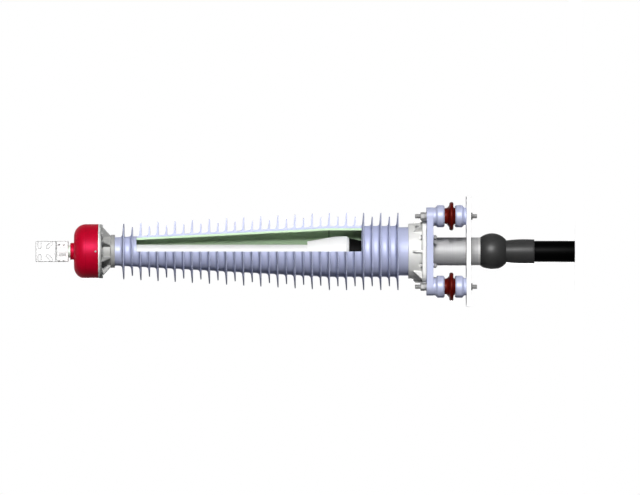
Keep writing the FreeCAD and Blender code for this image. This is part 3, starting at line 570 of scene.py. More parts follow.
class Tree:
    """The node tree of a material or a world, with short calls that add nodes and join them."""

    def __init__(self, owner: bpy.types.Material | bpy.types.World) -> None:
        """Starts with a bare shader.

        Args:
            owner: the material or world that the tree belongs to.
        """
        owner.use_nodes = True
        self.owner = owner
        self.nodes = owner.node_tree.nodes
        self.links = owner.node_tree.links
        self.shader = self.nodes["Background" if isinstance(owner, bpy.types.World) else "Principled BSDF"]

    @cached_property
    def coordinates(self) -> Socket:
        """Object coordinates."""
        return self.add("TexCoord").outputs["Object"]

    @cached_property
    def axes(self) -> Sequence[Socket]:
        """The parts of the object coordinates along X, Y and Z."""
        return self.add("SeparateXYZ", {0: self.coordinates}).outputs

    def feed(self, node: bpy.types.Node, inputs: Inputs) -> None:
        """Joins sockets to a node's inputs, or sets the inputs to numbers and colours.

        Args:
            node: the node.
            inputs: the socket, number or colour for each input.
        """
        for key, value in inputs.items():
            target = node.inputs[key]
            if isinstance(value, Socket):
                self.links.new(value, target)
            else:
                target.default_value = (*value, 1.0) if target.type == "RGBA" else value

    def add(self, kind: str, inputs: Inputs | None = None, **settings: str) -> bpy.types.Node:
        """Adds a node.

        Args:
            kind: the node's kind.
            inputs: the socket, number or colour for each input.
            settings: the node's own settings.

        Returns:
            The node.
        """
        node = self.nodes.new("ShaderNode" + kind)
        for name, value in settings.items():
            setattr(node, name, value)
        self.feed(node, inputs or {})
        return node

    def shade(self, **values: object) -> None:
        """Feeds the shader's own inputs, named with low lines for spaces."""
        self.feed(self.shader, {name.replace("_", " "): value for name, value in values.items()})

    def math(self, operation: str, *values: Socket | float) -> Socket:
        """Works out one arithmetic step of the Math node."""
        return self.add("Math", dict(enumerate(values)), operation=operation).outputs[0]

    def noise(self, scale: float, detail: float, stretch: Spot = (1, 1, 1)) -> Socket:
        """Noise, by its grains in a metre, its finer layers and its density along each axis."""
        place = self.add("Mapping", {"Vector": self.coordinates, "Scale": stretch}).outputs[0]
        return self.add("TexNoise", {"Vector": place, "Scale": scale, "Detail": detail}).outputs["Fac"]

    def span(self, value: Socket, low: float, high: float, to_low: float = 0, to_high: float = 1) -> Socket:
        """Maps one range onto another and holds it at the ends."""
        return self.add("MapRange", dict(enumerate((value, low, high, to_low, to_high)))).outputs[0]

    def off(self, height: float) -> Socket:
        """Distance from a height."""
        return self.math("ABSOLUTE", self.math("SUBTRACT", self.axes[2], height))

    def reach(self) -> Socket:
        """Distance from the upright axis."""
        squares = [self.math("MULTIPLY", part, part) for part in self.axes[:2]]
        return self.math("SQRT", self.math("ADD", *squares))

    def lay(self, twist: float) -> Socket:
        """Height plus the angle round the upright axis times a twist."""
        turn = self.math("ARCTAN2", self.axes[1], self.axes[0])
        return self.math("ADD", self.axes[2], self.math("MULTIPLY", turn, twist))

    def wave(self, run: Socket, length: float) -> Socket:
        """A sine wave along a run."""
        return self.math("SINE", self.math("MULTIPLY", run, 2 * math.pi / length))

    def blend(self, share: Socket, first: Socket | Point, second: Socket | Point) -> Socket:
        """Mixes two colours by how much of the second shows."""
        return self.add("Mix", {0: share, 6: first, 7: second}, data_type="RGBA").outputs[2]

    def bump(self, layers: Layers) -> None:
        """Raises the surface.

        Args:
            layers: pairs of a pattern and its depth in metres.
        """
        normal = {}
        for height, depth in layers:
            node = self.add("Bump", {"Distance": depth, "Height": height, **normal})
            normal = {"Normal": node.outputs[0]}
        self.shade(**normal)


@dataclass(frozen=True)
class Finish:
    """What the finishes share: two close tones in clouds, and a grain in the roughness and the relief.

    A little metal in a finish makes it mirror a small share of the light in its own colour. So it doesn't
    pale along its edges.
    """

    name: str
    base: Shown
    shade: Shown
    roughness: float = 0.5
    specular: float = 0.5
    metallic: float = 0.0
    sheen: Point = (1.0, 1.0, 1.0)
    clouds: Noise = (9, 4)
    cloud_spread: float = 0.2
    grain: Noise = (420, 3)
    smoother: float = 0.04
    rougher: float = 0.05
    grain_depth: float = 0.05 * MM
    dents: Noise | None = None
    dent_depth: float = 0.0

    def tone(self, tree: Tree) -> Socket:
        """How much of the shade shows."""
        return tree.span(tree.noise(*self.clouds), 0.5 - self.cloud_spread, 0.5 + self.cloud_spread)

    def colour(self, tree: Tree) -> Socket:
        """The colour all over."""
        return tree.blend(self.tone(tree), display(self.base), display(self.shade))

    def relief(self, tree: Tree, grain: Socket) -> Layers:
        """The patterns that raise the surface, and their depths."""
        dents = [(tree.noise(*self.dents), self.dent_depth)] if self.dents else []
        return [*dents, (grain, self.grain_depth)]

    def material(self) -> bpy.types.Material:
        """Builds the material.

        Returns:
            The material, named after its slot.
        """
        tree = Tree(bpy.data.materials.new(self.name))
        grain = tree.noise(*self.grain)
        low, high = self.roughness - self.smoother, self.roughness + self.rougher
        tree.shade(Base_Color=self.colour(tree), Roughness=tree.span(grain, NOISE_LOW, NOISE_HIGH, low, high))
        tree.shade(Metallic=self.metallic, Specular_IOR_Level=self.specular, Specular_Tint=self.sheen)
        tree.bump(self.relief(tree, grain))
        return tree.owner


@dataclass(frozen=True)
class MouldedRubber(Finish):
    """Moulded rubber or plastic: matte, a little uneven in tone, with fine pores."""

    specular: float = 0.18
    dents: Noise | None = (26, 2)
    dent_depth: float = 0.25 * MM


@dataclass(frozen=True)
class Casting(Finish):
    """Sand-cast metal, blasted or painted: a fine grain over soft dents."""

    roughness: float = 0.55
    specular: float = 0.05
    metallic: float = 0.035
    clouds: Noise = (14, 5)
    cloud_spread: float = 0.15
    grain: Noise = (650, 4)
    smoother: float = 0.06
    rougher: float = 0.06
    grain_depth: float = 0.12 * MM
    dents: Noise | None = (60, 2)
    dent_depth: float = 0.3 * MM


@dataclass(frozen=True)
class Enamel(Finish):
    """Painted or powder-coated plate: nearly even, with a fine orange peel."""

    specular: float = 0.15
    clouds: Noise = (11, 3)
    grain: Noise = (330, 2)
    smoother: float = 0.05


@dataclass(frozen=True)
class CastResin(Finish):
    """Cast epoxy resin: glossy, deep in colour, with faint flow marks."""

    roughness: float = 0.4
    specular: float = 0.06
    sheen: Point = (1.0, 0.3, 0.25)
    clouds: Noise = (22, 4, (1, 1, 3))
    grain: Noise = (300, 2)

    def relief(self, tree: Tree, grain: Socket) -> Layers:
        """The flow marks."""
        return ((tree.noise(*self.clouds), 0.3 * MM),)


@dataclass(frozen=True)
class PlatedSteel(Finish):
    """Zinc-plated steel: dull bright metal with small spangles."""

    roughness: float = 0.62
    metallic: float = 0.11
    grain: Noise = (800, 3)
    smoother: float = 0.06
    rougher: float = 0.08
    grain_depth: float = 0.03 * MM
    spangles: float = 320

    def tone(self, tree: Tree) -> Socket:
        """The spangles."""
        cells = tree.add("TexVoronoi", {"Scale": self.spangles, "Vector": tree.coordinates})
        return tree.span(cells.outputs["Distance"], 0.1, 0.6)


@dataclass(frozen=True)
class GlossPaint(Finish):
    """Metal-flake paint whose sheen keeps its colour, with a faint orange peel and a darker painted shade
    line where the shoulder meets the cylinder.
    """

    roughness: float = 0.48
    specular: float = 0.05
    metallic: float = 0.028
    sheen: Point = (1.0, 0.3, 0.8)
    smoother: float = 0.0
    rougher: float = 0.0
    # A darker line is painted where the round shoulder meets the cylinder: painted shade at that bend.
    shade_line_height: float = 1746.1 * MM
    shade_line_width: float = 1.2 * MM

    def line(self, tree: Tree) -> Socket:
        """A darker painted shade line where the round shoulder meets the cylinder."""
        return tree.span(tree.off(self.shade_line_height), 0.3 * self.shade_line_width, self.shade_line_width, 1, 0)

    def tone(self, tree: Tree) -> Socket:
        """The line over faint clouds."""
        clouds = tree.span(tree.noise(12, 3), NOISE_LOW, NOISE_HIGH, 0, 0.5)
        return tree.math("MAXIMUM", clouds, tree.math("MULTIPLY", self.line(tree), 0.9))

    def relief(self, tree: Tree, grain: Socket) -> Layers:
        """The line and the orange peel."""
        return ((self.line(tree), -0.15 * MM), (tree.noise(240, 2), 0.05 * MM))


@dataclass(frozen=True)
class TurnedMetal(Finish):
    """Turned or drawn metal: fine grooves round the axis, and a brighter band where one is set."""

    roughness: float = 0.58
    specular: float = 0.07
    metallic: float = 0.08
    clouds: Noise = (8, 4, (1, 1, 60))
    grain: Noise = (8, 4, (1, 1, 60))
    smoother: float = 0.05
    rougher: float = 0.06
    groove: float = 0.9 * MM
    band: Shown = 172
    band_height: float = 0.0
    band_half: float = 0.0

    def colour(self, tree: Tree) -> Socket:
        """The metal's colour with its band.

        Args:
            tree: the material's tree.

        Returns:
            The colour's socket.
        """
        plain = super().colour(tree)
        if self.band_half <= 0:
            return plain
        inside = tree.span(tree.off(self.band_height), self.band_half - 0.4 * MM, self.band_half, 1, 0)
        return tree.blend(inside, plain, display(self.band))

    def relief(self, tree: Tree, grain: Socket) -> Layers:
        """The grooves and a fine grain."""
        grooves = tree.wave(tree.math("ADD", tree.axes[2], tree.reach()), self.groove)
        return ((grooves, 0.012 * MM), (tree.noise(700, 2), 0.02 * MM))


@dataclass(frozen=True)
class StrandedCopper(Finish):
    """A stranded conductor: bright wires side by side, seen best at the cut end."""

    roughness: float = 0.35
    metallic: float = 1.0
    smoother: float = 0.0
    rougher: float = 0.0
    wire: float = 3.2 * MM

    def tone(self, tree: Tree) -> Socket:
        """The gaps between round wires, where the darker tone is painted shade.

        Args:
            tree: the material's tree.

        Returns:
            The pattern's socket, 1 in a gap.
        """
        flat = tree.add("Mapping", {"Vector": tree.coordinates, "Scale": (1, 1, 0)}).outputs[0]
        cells = tree.add("TexVoronoi", {"Vector": flat, "Scale": 1 / self.wire, "Randomness": 0.25})
        return tree.span(cells.outputs["Distance"], 0.35, 0.6)

    def relief(self, tree: Tree, grain: Socket) -> Layers:
        """The gaps, and the strands' lay round the conductor."""
        return ((self.tone(tree), -0.5 * MM), (tree.wave(tree.lay(0.02), self.wire), 0.2 * MM))


@dataclass(frozen=True)
class WoundGlassFibre(Finish):
    """Glass fibre wound round a mandrel in two directions, painted darker along its bore as painted shade.

    A still darker painted line, where the bore's cylinder meets its cone, is painted shade at that bend.
    """

    roughness: float = 0.42
    specular: float = 0.06
    smoother: float = 0.0
    rougher: float = 0.0
    # Painted shade: the bore surface takes the first of these darker colours, and the line where its cylinder
    # meets its cone takes the second.
    bore_shade: Shown = (166, 189, 158)
    crease_shade: Shown = (100, 116, 94)
    foot_bore_r: float = 96 * MM
    head_bore_r: float = 48 * MM
    winding: float = 6 * MM
    twist: float = 0.08
    bore_shade_depth: float = 0.6 * MM
    crease_shade_width: float = 3.4 * MM

    def tone(self, tree: Tree) -> Socket:
        """The weave of the two windings."""
        wound = [tree.wave(tree.lay(way * self.twist), self.winding) for way in (1, -1)]
        return tree.span(tree.math("MULTIPLY", *wound), -1, 1)

    def colour(self, tree: Tree) -> Socket:
        """The glass, with painted shade along its bore and a darker painted shade line where the bore's
        cylinder meets its cone.

        Args:
            tree: the material's tree.

        Returns:
            The colour's socket.
        """
        bore = tree.span(tree.axes[2], CONE_FOOT, CONE_HEAD, self.foot_bore_r, self.head_bore_r)
        inside = tree.math("SUBTRACT", tree.reach(), bore)
        # Painted shade on the bore surface, and a darker painted shade line where the bore's cylinder meets
        # its cone.
        shaded_bore = tree.span(inside, 0.4 * self.bore_shade_depth, self.bore_shade_depth, 1, 0)
        near = tree.span(tree.off(CONE_FOOT), 0.5 * self.crease_shade_width, 0.8 * self.crease_shade_width, 1, 0)
        plain = tree.blend(shaded_bore, super().colour(tree), display(self.bore_shade))
        return tree.blend(tree.math("MULTIPLY", shaded_bore, near), plain, display(self.crease_shade))

    def relief(self, tree: Tree, grain: Socket) -> Layers:
        """The weave and a fine grain."""
        return ((self.tone(tree), 0.06 * MM), (tree.noise(900, 2), 0.03 * MM))


@dataclass(frozen=True)
class Wardrobe:
    """Every finish of the object, made once and handed out by slot name."""

    finishes: tuple[Finish, ...] = (
        MouldedRubber("silicone", LAVENDER, LAVENDER_SHADE, specular=0.0, metallic=0.05),
        WoundGlassFibre("glass_fibre", (212, 240, 202), (204, 234, 194)),
        Enamel("plate_lavender", LAVENDER, LAVENDER_SHADE, specular=0.0, metallic=0.032),
        Enamel("cap_lavender", LAVENDER, LAVENDER_SHADE, roughness=0.48, specular=0.0, metallic=0.048),
        Casting("cast_pale", (216, 216, 213), (209, 209, 206)),
        Casting("head_cast", (162, 162, 160), (155, 155, 153)),
        TurnedMetal("cover_metal", (216, 225, 221), (208, 218, 214)),
        GlossPaint("shield_red", (186, 4, 38), (150, 2, 26)),
        CastResin("resin_brown", (88, 12, 4), (72, 5, 1)),
        PlatedSteel("fastener_steel", (134, 134, 133), 114),
        TurnedMetal("tube_metal", 160, 154, band_height=-39.05 * MM, band_half=5.45 * MM),
        MouldedRubber("bulb_black", 50, 42, roughness=0.45, specular=0.075),
        MouldedRubber("sleeve_grey", 53, 46, roughness=0.45, specular=0.05),
        MouldedRubber("jacket_black", 2, 1, roughness=0.45, specular=0.006),
        TurnedMetal("sheath_metal", (150, 152, 156), (128, 130, 134), metallic=0.8),
        MouldedRubber("bedding_black", (30, 30, 31), (22, 22, 23)),
        MouldedRubber("screen_black", (26, 26, 27), (18, 18, 19)),
        MouldedRubber("insulation_white", 222, 216),
        # The copper's darker tone is painted shade in the gaps between its wires.
        StrandedCopper("conductor_copper", (214, 130, 84), (70, 34, 18)),
        MouldedRubber("cone_white", 234, 228),
        MouldedRubber("deflector_black", 9, 6, specular=0.015),
        MouldedRubber("gasket_black", (34, 34, 36), (26, 26, 28)),
        TurnedMetal("terminal_plated", (200, 214, 202), (188, 204, 192)),
        Casting("connector_white", 230, 226),
        # Light grey for the connector's rounded edges: painted shade along its edges.
        Casting("connector_edge", 176, 170),
        Enamel("support_white", 246, 241, specular=0.3),
    )

    def make(self) -> dict[str, bpy.types.Material]:
        """Builds one material for each slot."""
        return {finish.name: finish.material() for finish in self.finishes}


@dataclass
class SubAssembly:
    """What every sub-assembly shares: the materials, and how a piece is dressed."""

    materials: dict[str, bpy.types.Material]

    def dress(self, piece: Mesh, slot: str, *nodes: str, flat_faces: bool = False) -> None:
        """Gives a new piece its finish and its place in the frame.

        Args:
            piece: the finished mesh.
            slot: the record's slot that it takes its finish from.
            nodes: the CAD nodes that it stands for.
            flat_faces: whether its large flat faces are kept flat in the light.
        """
        finish = self.materials[slot]
        if finish not in piece.data.materials[:]:
            piece.data.materials.clear()
            piece.data.materials.append(finish)
        activate(piece)
        bpy.ops.object.shade_smooth_by_angle(angle=SMOOTH_BELOW)
        if flat_faces:
            shaped(piece, "WEIGHTED_NORMAL", keep_sharp=True, weight=FLAT_WEIGHT)
        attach(piece, BODY)
        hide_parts(*nodes)
        log.info("%s: %d faces", piece.name, len(piece.data.polygons))

    def dress_node(self, node: str, slot: str) -> None:
        """Gives a CAD node that stays its finish.

        Args:
            node: the CAD node's name.
            slot: the finish's slot.
        """
        for holder in frame["nodes"][node].material_slots:
            holder.material = self.materials[slot]
        log.info("%s kept", node)


@dataclass
class Insulator(SubAssembly):
    """The silicone body with its sheds, and the glass-fibre tube inside it, cut open at one quarter."""

    plain_r: float = 110 * MM
    barrel_r: float = 116 * MM
    head_r: float = 65 * MM
    bottom: float = 273 * MM
    barrel_foot: float = 327 * MM
    top: float = 1623 * MM
    foot_bore_r: float = 105.6 * MM
    head_bore_r: float = 57.6 * MM
    foot_edge: float = 1 * MM
    shed_count: int = 17
    top_margin: float = 29 * MM
    large_overhang: float = 60 * MM
    small_overhang: float = 42.5 * MM
    tip_thickness: float = 5 * MM
    tip_round: float = 2.3 * MM
    slope_deg: float = 5.5
    upper_root: float = 11 * MM
    lower_root: float = 2 * MM
    window_low: float = 495 * MM
    window_high: float = 1517 * MM
    window_reach: float = 240 * MM
    steps: int = 120
    arc_step_deg: float = 24.0

    def body_r(self, height: float) -> float:
        """The body's radius between the sheds at a height."""
        share = (height - CONE_FOOT) / (CONE_HEAD - CONE_FOOT)
        return self.barrel_r + min(max(share, 0.0), 1.0) * (self.head_r - self.barrel_r)

    def corners(self) -> list[Point]:
        """Lists the corners of the housing's outline, from its foot up its outside and down its bore.

        Returns:
            The corners, as turned takes them.
        """
        found: list[Point] = [
            (self.foot_bore_r, self.bottom),
            (self.plain_r, self.bottom, self.foot_edge),
            (self.plain_r, self.barrel_foot, self.lower_root),
        ]
        half_pitch = (CONE_HEAD - self.top_margin - self.barrel_foot) / (2 * (self.shed_count - 1))
        reached = self.barrel_foot
        for step in range(2 * self.shed_count - 1):
            low = self.barrel_foot + step * half_pitch
            overhang = self.small_overhang if step % 2 else self.large_overhang
            if reached < CONE_FOOT < low:
                found.append((self.barrel_r, CONE_FOOT))
            if step:
                found.append((self.body_r(low), low, self.lower_root))
            tip_r = self.body_r(low) + overhang
            reached = low + self.tip_thickness + overhang * math.tan(math.radians(self.slope_deg))
            found.append((tip_r, low, self.tip_round))
            found.append((tip_r, low + self.tip_thickness, self.tip_round))
            found.append((self.body_r(reached), reached, self.upper_root))
        found += [(self.head_r, CONE_HEAD), (self.head_r, self.top), (self.head_bore_r, self.top)]
        return found + [(self.head_bore_r, CONE_HEAD), (self.foot_bore_r, CONE_FOOT)]

    def build(self) -> None:
        """Turns the housing, cuts the window and dresses housing and tube."""
        housing = turned("silicone_body", self.corners(), self.steps, self.arc_step_deg)
        reach = self.window_reach
        window = block("window", (0, -reach, self.window_low), (reach, 0, self.window_high))
        combine(housing, window, Cut.REMOVE)
        self.dress(housing, "silicone", "silicone_housing")
        self.dress_node("frp_tube", "glass_fibre")


@dataclass
class HeadGroup(SubAssembly):
    """Head fitting, cover plate, red shield, and what holds them together."""

    flange_underside: float = 1675 * MM
    cover_underside: float = 1683 * MM
    cover_top: float = 1690 * MM
    plate_r: float = 124 * MM
    plate_edge: float = 0.8 * MM
    spigot_r: float = 120.2 * MM
    spigot_wall: float = 12 * MM
    spigot_height: float = 18 * MM
    shield_r: float = 124.3 * MM
    shield_wall: float = 4 * MM
    shield_top: float = 1800.6 * MM
    shoulder_r: float = 54.5 * MM
    lip_round: float = 1.2 * MM
    mouth_round: float = 0.6 * MM
    ring_r: float = 39.3 * MM
    ring_top: float = 1817.6 * MM
    ring_chamfer: float = 3 * MM
    ring_foot_round: float = 0.5 * MM
    ring_top_round: float = 1.5 * MM
    bolt_circle_r: float = 114 * MM
    bolt_count: int = 8
    bolt_flats: float = 13 * MM
    bolt_head: float = 5.5 * MM
    bolt_reach: float = 11 * MM
    screw_count: int = 3
    screw_height: float = 1701 * MM
    screw_head_r: float = 4.8 * MM
    screw_head: float = 2.4 * MM
    recess_arm: float = 2.4 * MM
    recess_half: float = 0.45 * MM
    recess_depth: float = 1.2 * MM
    cast_voxel: float = 1.7 * MM

    def cover(self) -> Mesh:
        """Turns the cover plate with its spigot.

        Returns:
            The finished mesh.
        """
        edge = self.plate_edge
        inner_r = self.spigot_r - self.spigot_wall
        spigot_top = self.cover_top + self.spigot_height
        plate = [(self.plate_r, self.cover_underside, edge), (self.plate_r, self.cover_top, edge)]
        outside = [(self.spigot_r, self.cover_top), (self.spigot_r, spigot_top, edge)]
        inside = [(inner_r, spigot_top, edge), (inner_r, self.cover_top), (TERMINAL_R, self.cover_top)]
        corners = [(TERMINAL_R, self.cover_underside), *plate, *outside, *inside]
        return turned("head_cover", corners, steps=128)

    def shield(self) -> Mesh:
        """Turns the shield, a thin shell with a large round shoulder and a rolled lip.

        Returns:
            The finished mesh.
        """
        inner_r = self.shield_r - self.shield_wall
        inner_top = self.shield_top - self.shield_wall
        corners = [
            (self.shield_r, self.cover_top, self.lip_round),
            (self.shield_r, self.shield_top, self.shoulder_r),
            (TERMINAL_R, self.shield_top, self.mouth_round),
            (TERMINAL_R, inner_top),
            (inner_r, inner_top, self.shoulder_r - self.shield_wall),
            (inner_r, self.cover_top, self.lip_round),
        ]
        return turned("red_shield", corners, steps=144, step_deg=5)

    def neck_ring(self) -> Mesh:
        """Turns the red ring round the stud.

        Returns:
            The finished mesh.
        """
        corners = [
            (TERMINAL_R, self.shield_top),
            (self.ring_r, self.shield_top, self.ring_foot_round),
            (self.ring_r, self.ring_top - self.ring_chamfer, self.ring_top_round),
            (self.ring_r - self.ring_chamfer, self.ring_top, self.ring_top_round),
            (TERMINAL_R, self.ring_top),
        ]
        return turned("red_neck_ring", corners)

    def bolts(self) -> Mesh:
        """Makes the bolts whose heads are under the flange.

        Returns:
            The bolts as one object.
        """
        ends = (self.cover_underside + self.bolt_reach, self.flange_underside, self.bolt_head)
        model = bolt("head_bolt", Thread.M8, self.bolt_flats, *ends)
        return group_at(model, "head_bolt_set", circle_places(self.bolt_circle_r, self.bolt_count))

    def screws(self) -> Mesh:
        """Makes the small round-headed screws through the shield's skirt, each with a cross recess.

        Returns:
            The screws as one object.
        """
        radius, height = self.screw_head_r, self.screw_head
        corners = [(0, 0), (radius, 0, 0.3 * MM), (radius, 0.5 * height, 0.6 * MM)]
        head = turned("screw_head", [*corners, (0.55 * radius, height, 1.2 * MM), (0, height)], steps=32)
        arm, half = self.recess_arm, self.recess_half
        for x, y in ((arm, half), (half, arm)):
            recess = block("recess", (-x, -y, height - self.recess_depth), (x, y, height + OVERSHOOT))
            combine(head, recess, Cut.REMOVE)
        outwards = Matrix.Translation((0, 0, self.screw_height)) @ Matrix.Rotation(math.pi / 2, 4, "X")
        places = [place @ outwards for place in circle_places(self.shield_r, self.screw_count)]
        return group_at(head, "shield_screw_set", places)

    def build(self) -> None:
        """Makes and dresses the head."""
        self.dress(cast("head_fitting", "head_casting", self.cast_voxel), "head_cast", "head_fitting")
        self.dress(self.cover(), "cover_metal", "cover_plate")
        self.dress(self.shield(), "shield_red", "corona_shield")
        self.dress(self.neck_ring(), "shield_red", "shield_neck_ring")
        self.dress(self.bolts(), "fastener_steel", "head_bolts")
        self.dress(self.screws(), "fastener_steel", "shield_screws")
        self.dress_node("cover_gasket", "gasket_black")
        self.dress_node("stud_lock_nut", "fastener_steel")
        self.dress_node("terminal_stud", "terminal_plated")


@dataclass
class Connector(SubAssembly):
    """The pad connector: pad and rear clamp half in one casting, the keeper and its screws."""

    half_width: float = 47.2 * MM
    foot: float = 1826 * MM
    pad_foot: float = 1887 * MM
    top: float = 1975 * MM
    split: float = 1 * MM
    pad_back: float = 21 * MM
    clamp_back: float = 38 * MM
    rear_inset: float = 0.02 * MM
    keeper_front: float = 30.5 * MM
    keeper_chamfer: float = 8.2 * MM
    keeper_edge: float = 3.0 * MM
    corner_r: float = 5.5 * MM
    corner_faces: int = 6
    edge: float = 3.5 * MM
    bore_depth: float = 52.1 * MM
    saddle_r: float = 38 * MM
    saddle_foot: float = 1835.5 * MM
    saddle_top: float = 1870 * MM
    slot_offset: float = 28.6 * MM
    slot_height: float = 1957.3 * MM
    slot_width: float = 14 * MM
    slot_length: float = 30 * MM
    cross_offset: float = 28.2 * MM
    cross_height: float = 1912 * MM
    cross_width: float = 13 * MM
    cross_length: float = 35 * MM
    tilt_deg: float = 45.0
    slot_edge: float = 2.1 * MM
    screw_offset: float = 36.6 * MM
    screw_heights: tuple[float, float] = (1846 * MM, 1868.2 * MM)
    screw_flats: float = 11.2 * MM
    screw_head: float = 8 * MM
    screw_end: float = 23 * MM

    def slab(self, name: str, low: Spot, high: Spot, end: float) -> Mesh:
        """Makes a slab with two round corners at one end and softened edges.

        Args:
            name: the slab's name.
            low, high: its lowest and highest corner.
            end: the height of the end with the round corners.

        Returns:
            The slab.
        """
        piece = block(name, low, high)
        bevel_edges(piece, along(1, z=end), self.corner_r, self.corner_faces)
        self.paint(piece)
        soften(piece, self.edge, segments=4, from_deg=60)
        return piece

    def paint(self, piece: Mesh) -> None:
        """Paints a piece white before its edges are rounded, and gives the roundings a light grey as painted
        shade along its edges.
        """
        for finish in ("connector_white", "connector_edge"):
            piece.data.materials.append(self.materials[finish])

    def drill_bore(self, piece: Mesh) -> None:
        """Drills the clamp's bore into a piece."""
        drill(piece, TERMINAL_R, self.foot - 2 * OVERSHOOT, self.foot + self.bore_depth, AXIS, steps=96)

    def slot_tool(self, width: float, length: float, x: float, height: float, tilt_deg: float) -> Mesh:
        """Makes a round-ended cutter for a slot through the pad.

        Args:
            width, length: the slot's size.
            x, height: its centre.
            tilt_deg: its turn about its centre.

        Returns:
            The cutter.
        """
        low = (-length / 2, 0, -width / 2)
        tool = block("slot", low, (length / 2, self.pad_back + 4 * MM, width / 2))
        bevel_edges(tool, along(1), width / 2 - HAIR, segments=10)
        tilt = Matrix.Rotation(math.radians(tilt_deg), 4, "Y")
        tool.matrix_world = Matrix.Translation((x, 0, height)) @ tilt
        return settle(tool, "slot")

    def palm(self) -> Mesh:
        """Makes the pad and the rear half of the clamp.

        Returns:
            The finished mesh.
        """
        reach = self.half_width
        low, high = (-reach, self.split, self.foot), (reach, self.pad_back, self.top)
        palm = self.slab("pad_connector", low, high, self.top)
        reach -= self.rear_inset
        foot = self.foot + self.rear_inset
        low = (-reach, self.split + self.rear_inset, foot)
        combine(palm, self.slab("rear", low, (reach, self.clamp_back, self.pad_foot), foot), Cut.JOIN)
        self.drill_bore(palm)
        straight = (self.slot_width, self.slot_length, self.slot_offset, self.slot_height, 0.0)
        tilted = (self.cross_width, self.cross_length, self.cross_offset, self.cross_height, self.tilt_deg)
        for side in (-1, 1):
            for width, length, offset, height, tilt_deg in (straight, tilted):
                tool = self.slot_tool(width, length, side * offset, height, side * tilt_deg)
                combine(palm, tool, Cut.REMOVE)
        weld(palm, outward=False)
        bevel_edges(palm, self.on_slot_rim, self.slot_edge, segments=3)
        return palm

    def on_slot_rim(self, first: Vector, second: Vector) -> bool:
        """Says whether an edge lies on a slot's rim, at either face of the pad.

        Args:
            first, second: the edge's ends.

        Returns:
            Whether it does.
        """
        margin = self.edge + 0.7 * self.slot_edge
        ends = (first, second)
        level = any(all(abs(spot.y - depth) < WELD for spot in ends) for depth in (self.split, self.pad_back))
        return level and all(
            abs(spot.x) < self.half_width - margin and self.pad_foot + MM < spot.z < self.top - margin
            for spot in ends
        )

    def keeper(self) -> Mesh:
        """Makes the front half of the clamp, with its sloped upper edge and round saddle.

        Returns:
            The finished mesh.
        """
        reach = self.half_width
        front = -self.keeper_front
        keeper = block("clamp_keeper", (-reach, front, self.foot), (reach, -self.split, self.pad_foot))
        bevel_edges(keeper, along(1, z=self.foot), self.corner_r, self.corner_faces)
        bevel_edges(keeper, along(0, y=front, z=self.pad_foot), self.keeper_chamfer, segments=1)
        self.paint(keeper)
        soften(keeper, self.keeper_edge)
        rims = [(self.saddle_r, height, self.keeper_edge) for height in (self.saddle_foot, self.saddle_top)]
        saddle = turned("saddle", [(0, self.saddle_foot), *rims, (0, self.saddle_top)])
        rear = block("rear", (-reach, -1.5 * self.split, self.foot), (reach, reach, self.pad_foot))
        combine(saddle, rear, Cut.REMOVE)
        combine(keeper, saddle, Cut.JOIN)
        self.drill_bore(keeper)
        return keeper

    def screws(self) -> Mesh:
        """Makes the four clamp screws.

        Returns:
            The screws as one object.
        """
        ends = (-self.screw_end, self.keeper_front, self.screw_head)
        model = bolt("clamp_screw", Thread.M8, self.screw_flats, *ends)
        forward = Matrix.Rotation(math.pi / 2, 4, "X")
        places = [
            Matrix.Translation((side * self.screw_offset, 0, height)) @ forward
            for side in (-1, 1)
            for height in self.screw_heights
        ]
        return group_at(model, "clamp_screw_set", places)

    def build(self) -> None:
        """Makes and dresses the connector."""
        self.dress(self.palm(), "connector_white", "terminal_palm", flat_faces=True)
        self.dress(self.keeper(), "connector_white", "palm_keeper", flat_faces=True)
        self.dress(self.screws(), "connector_white", "palm_screws")


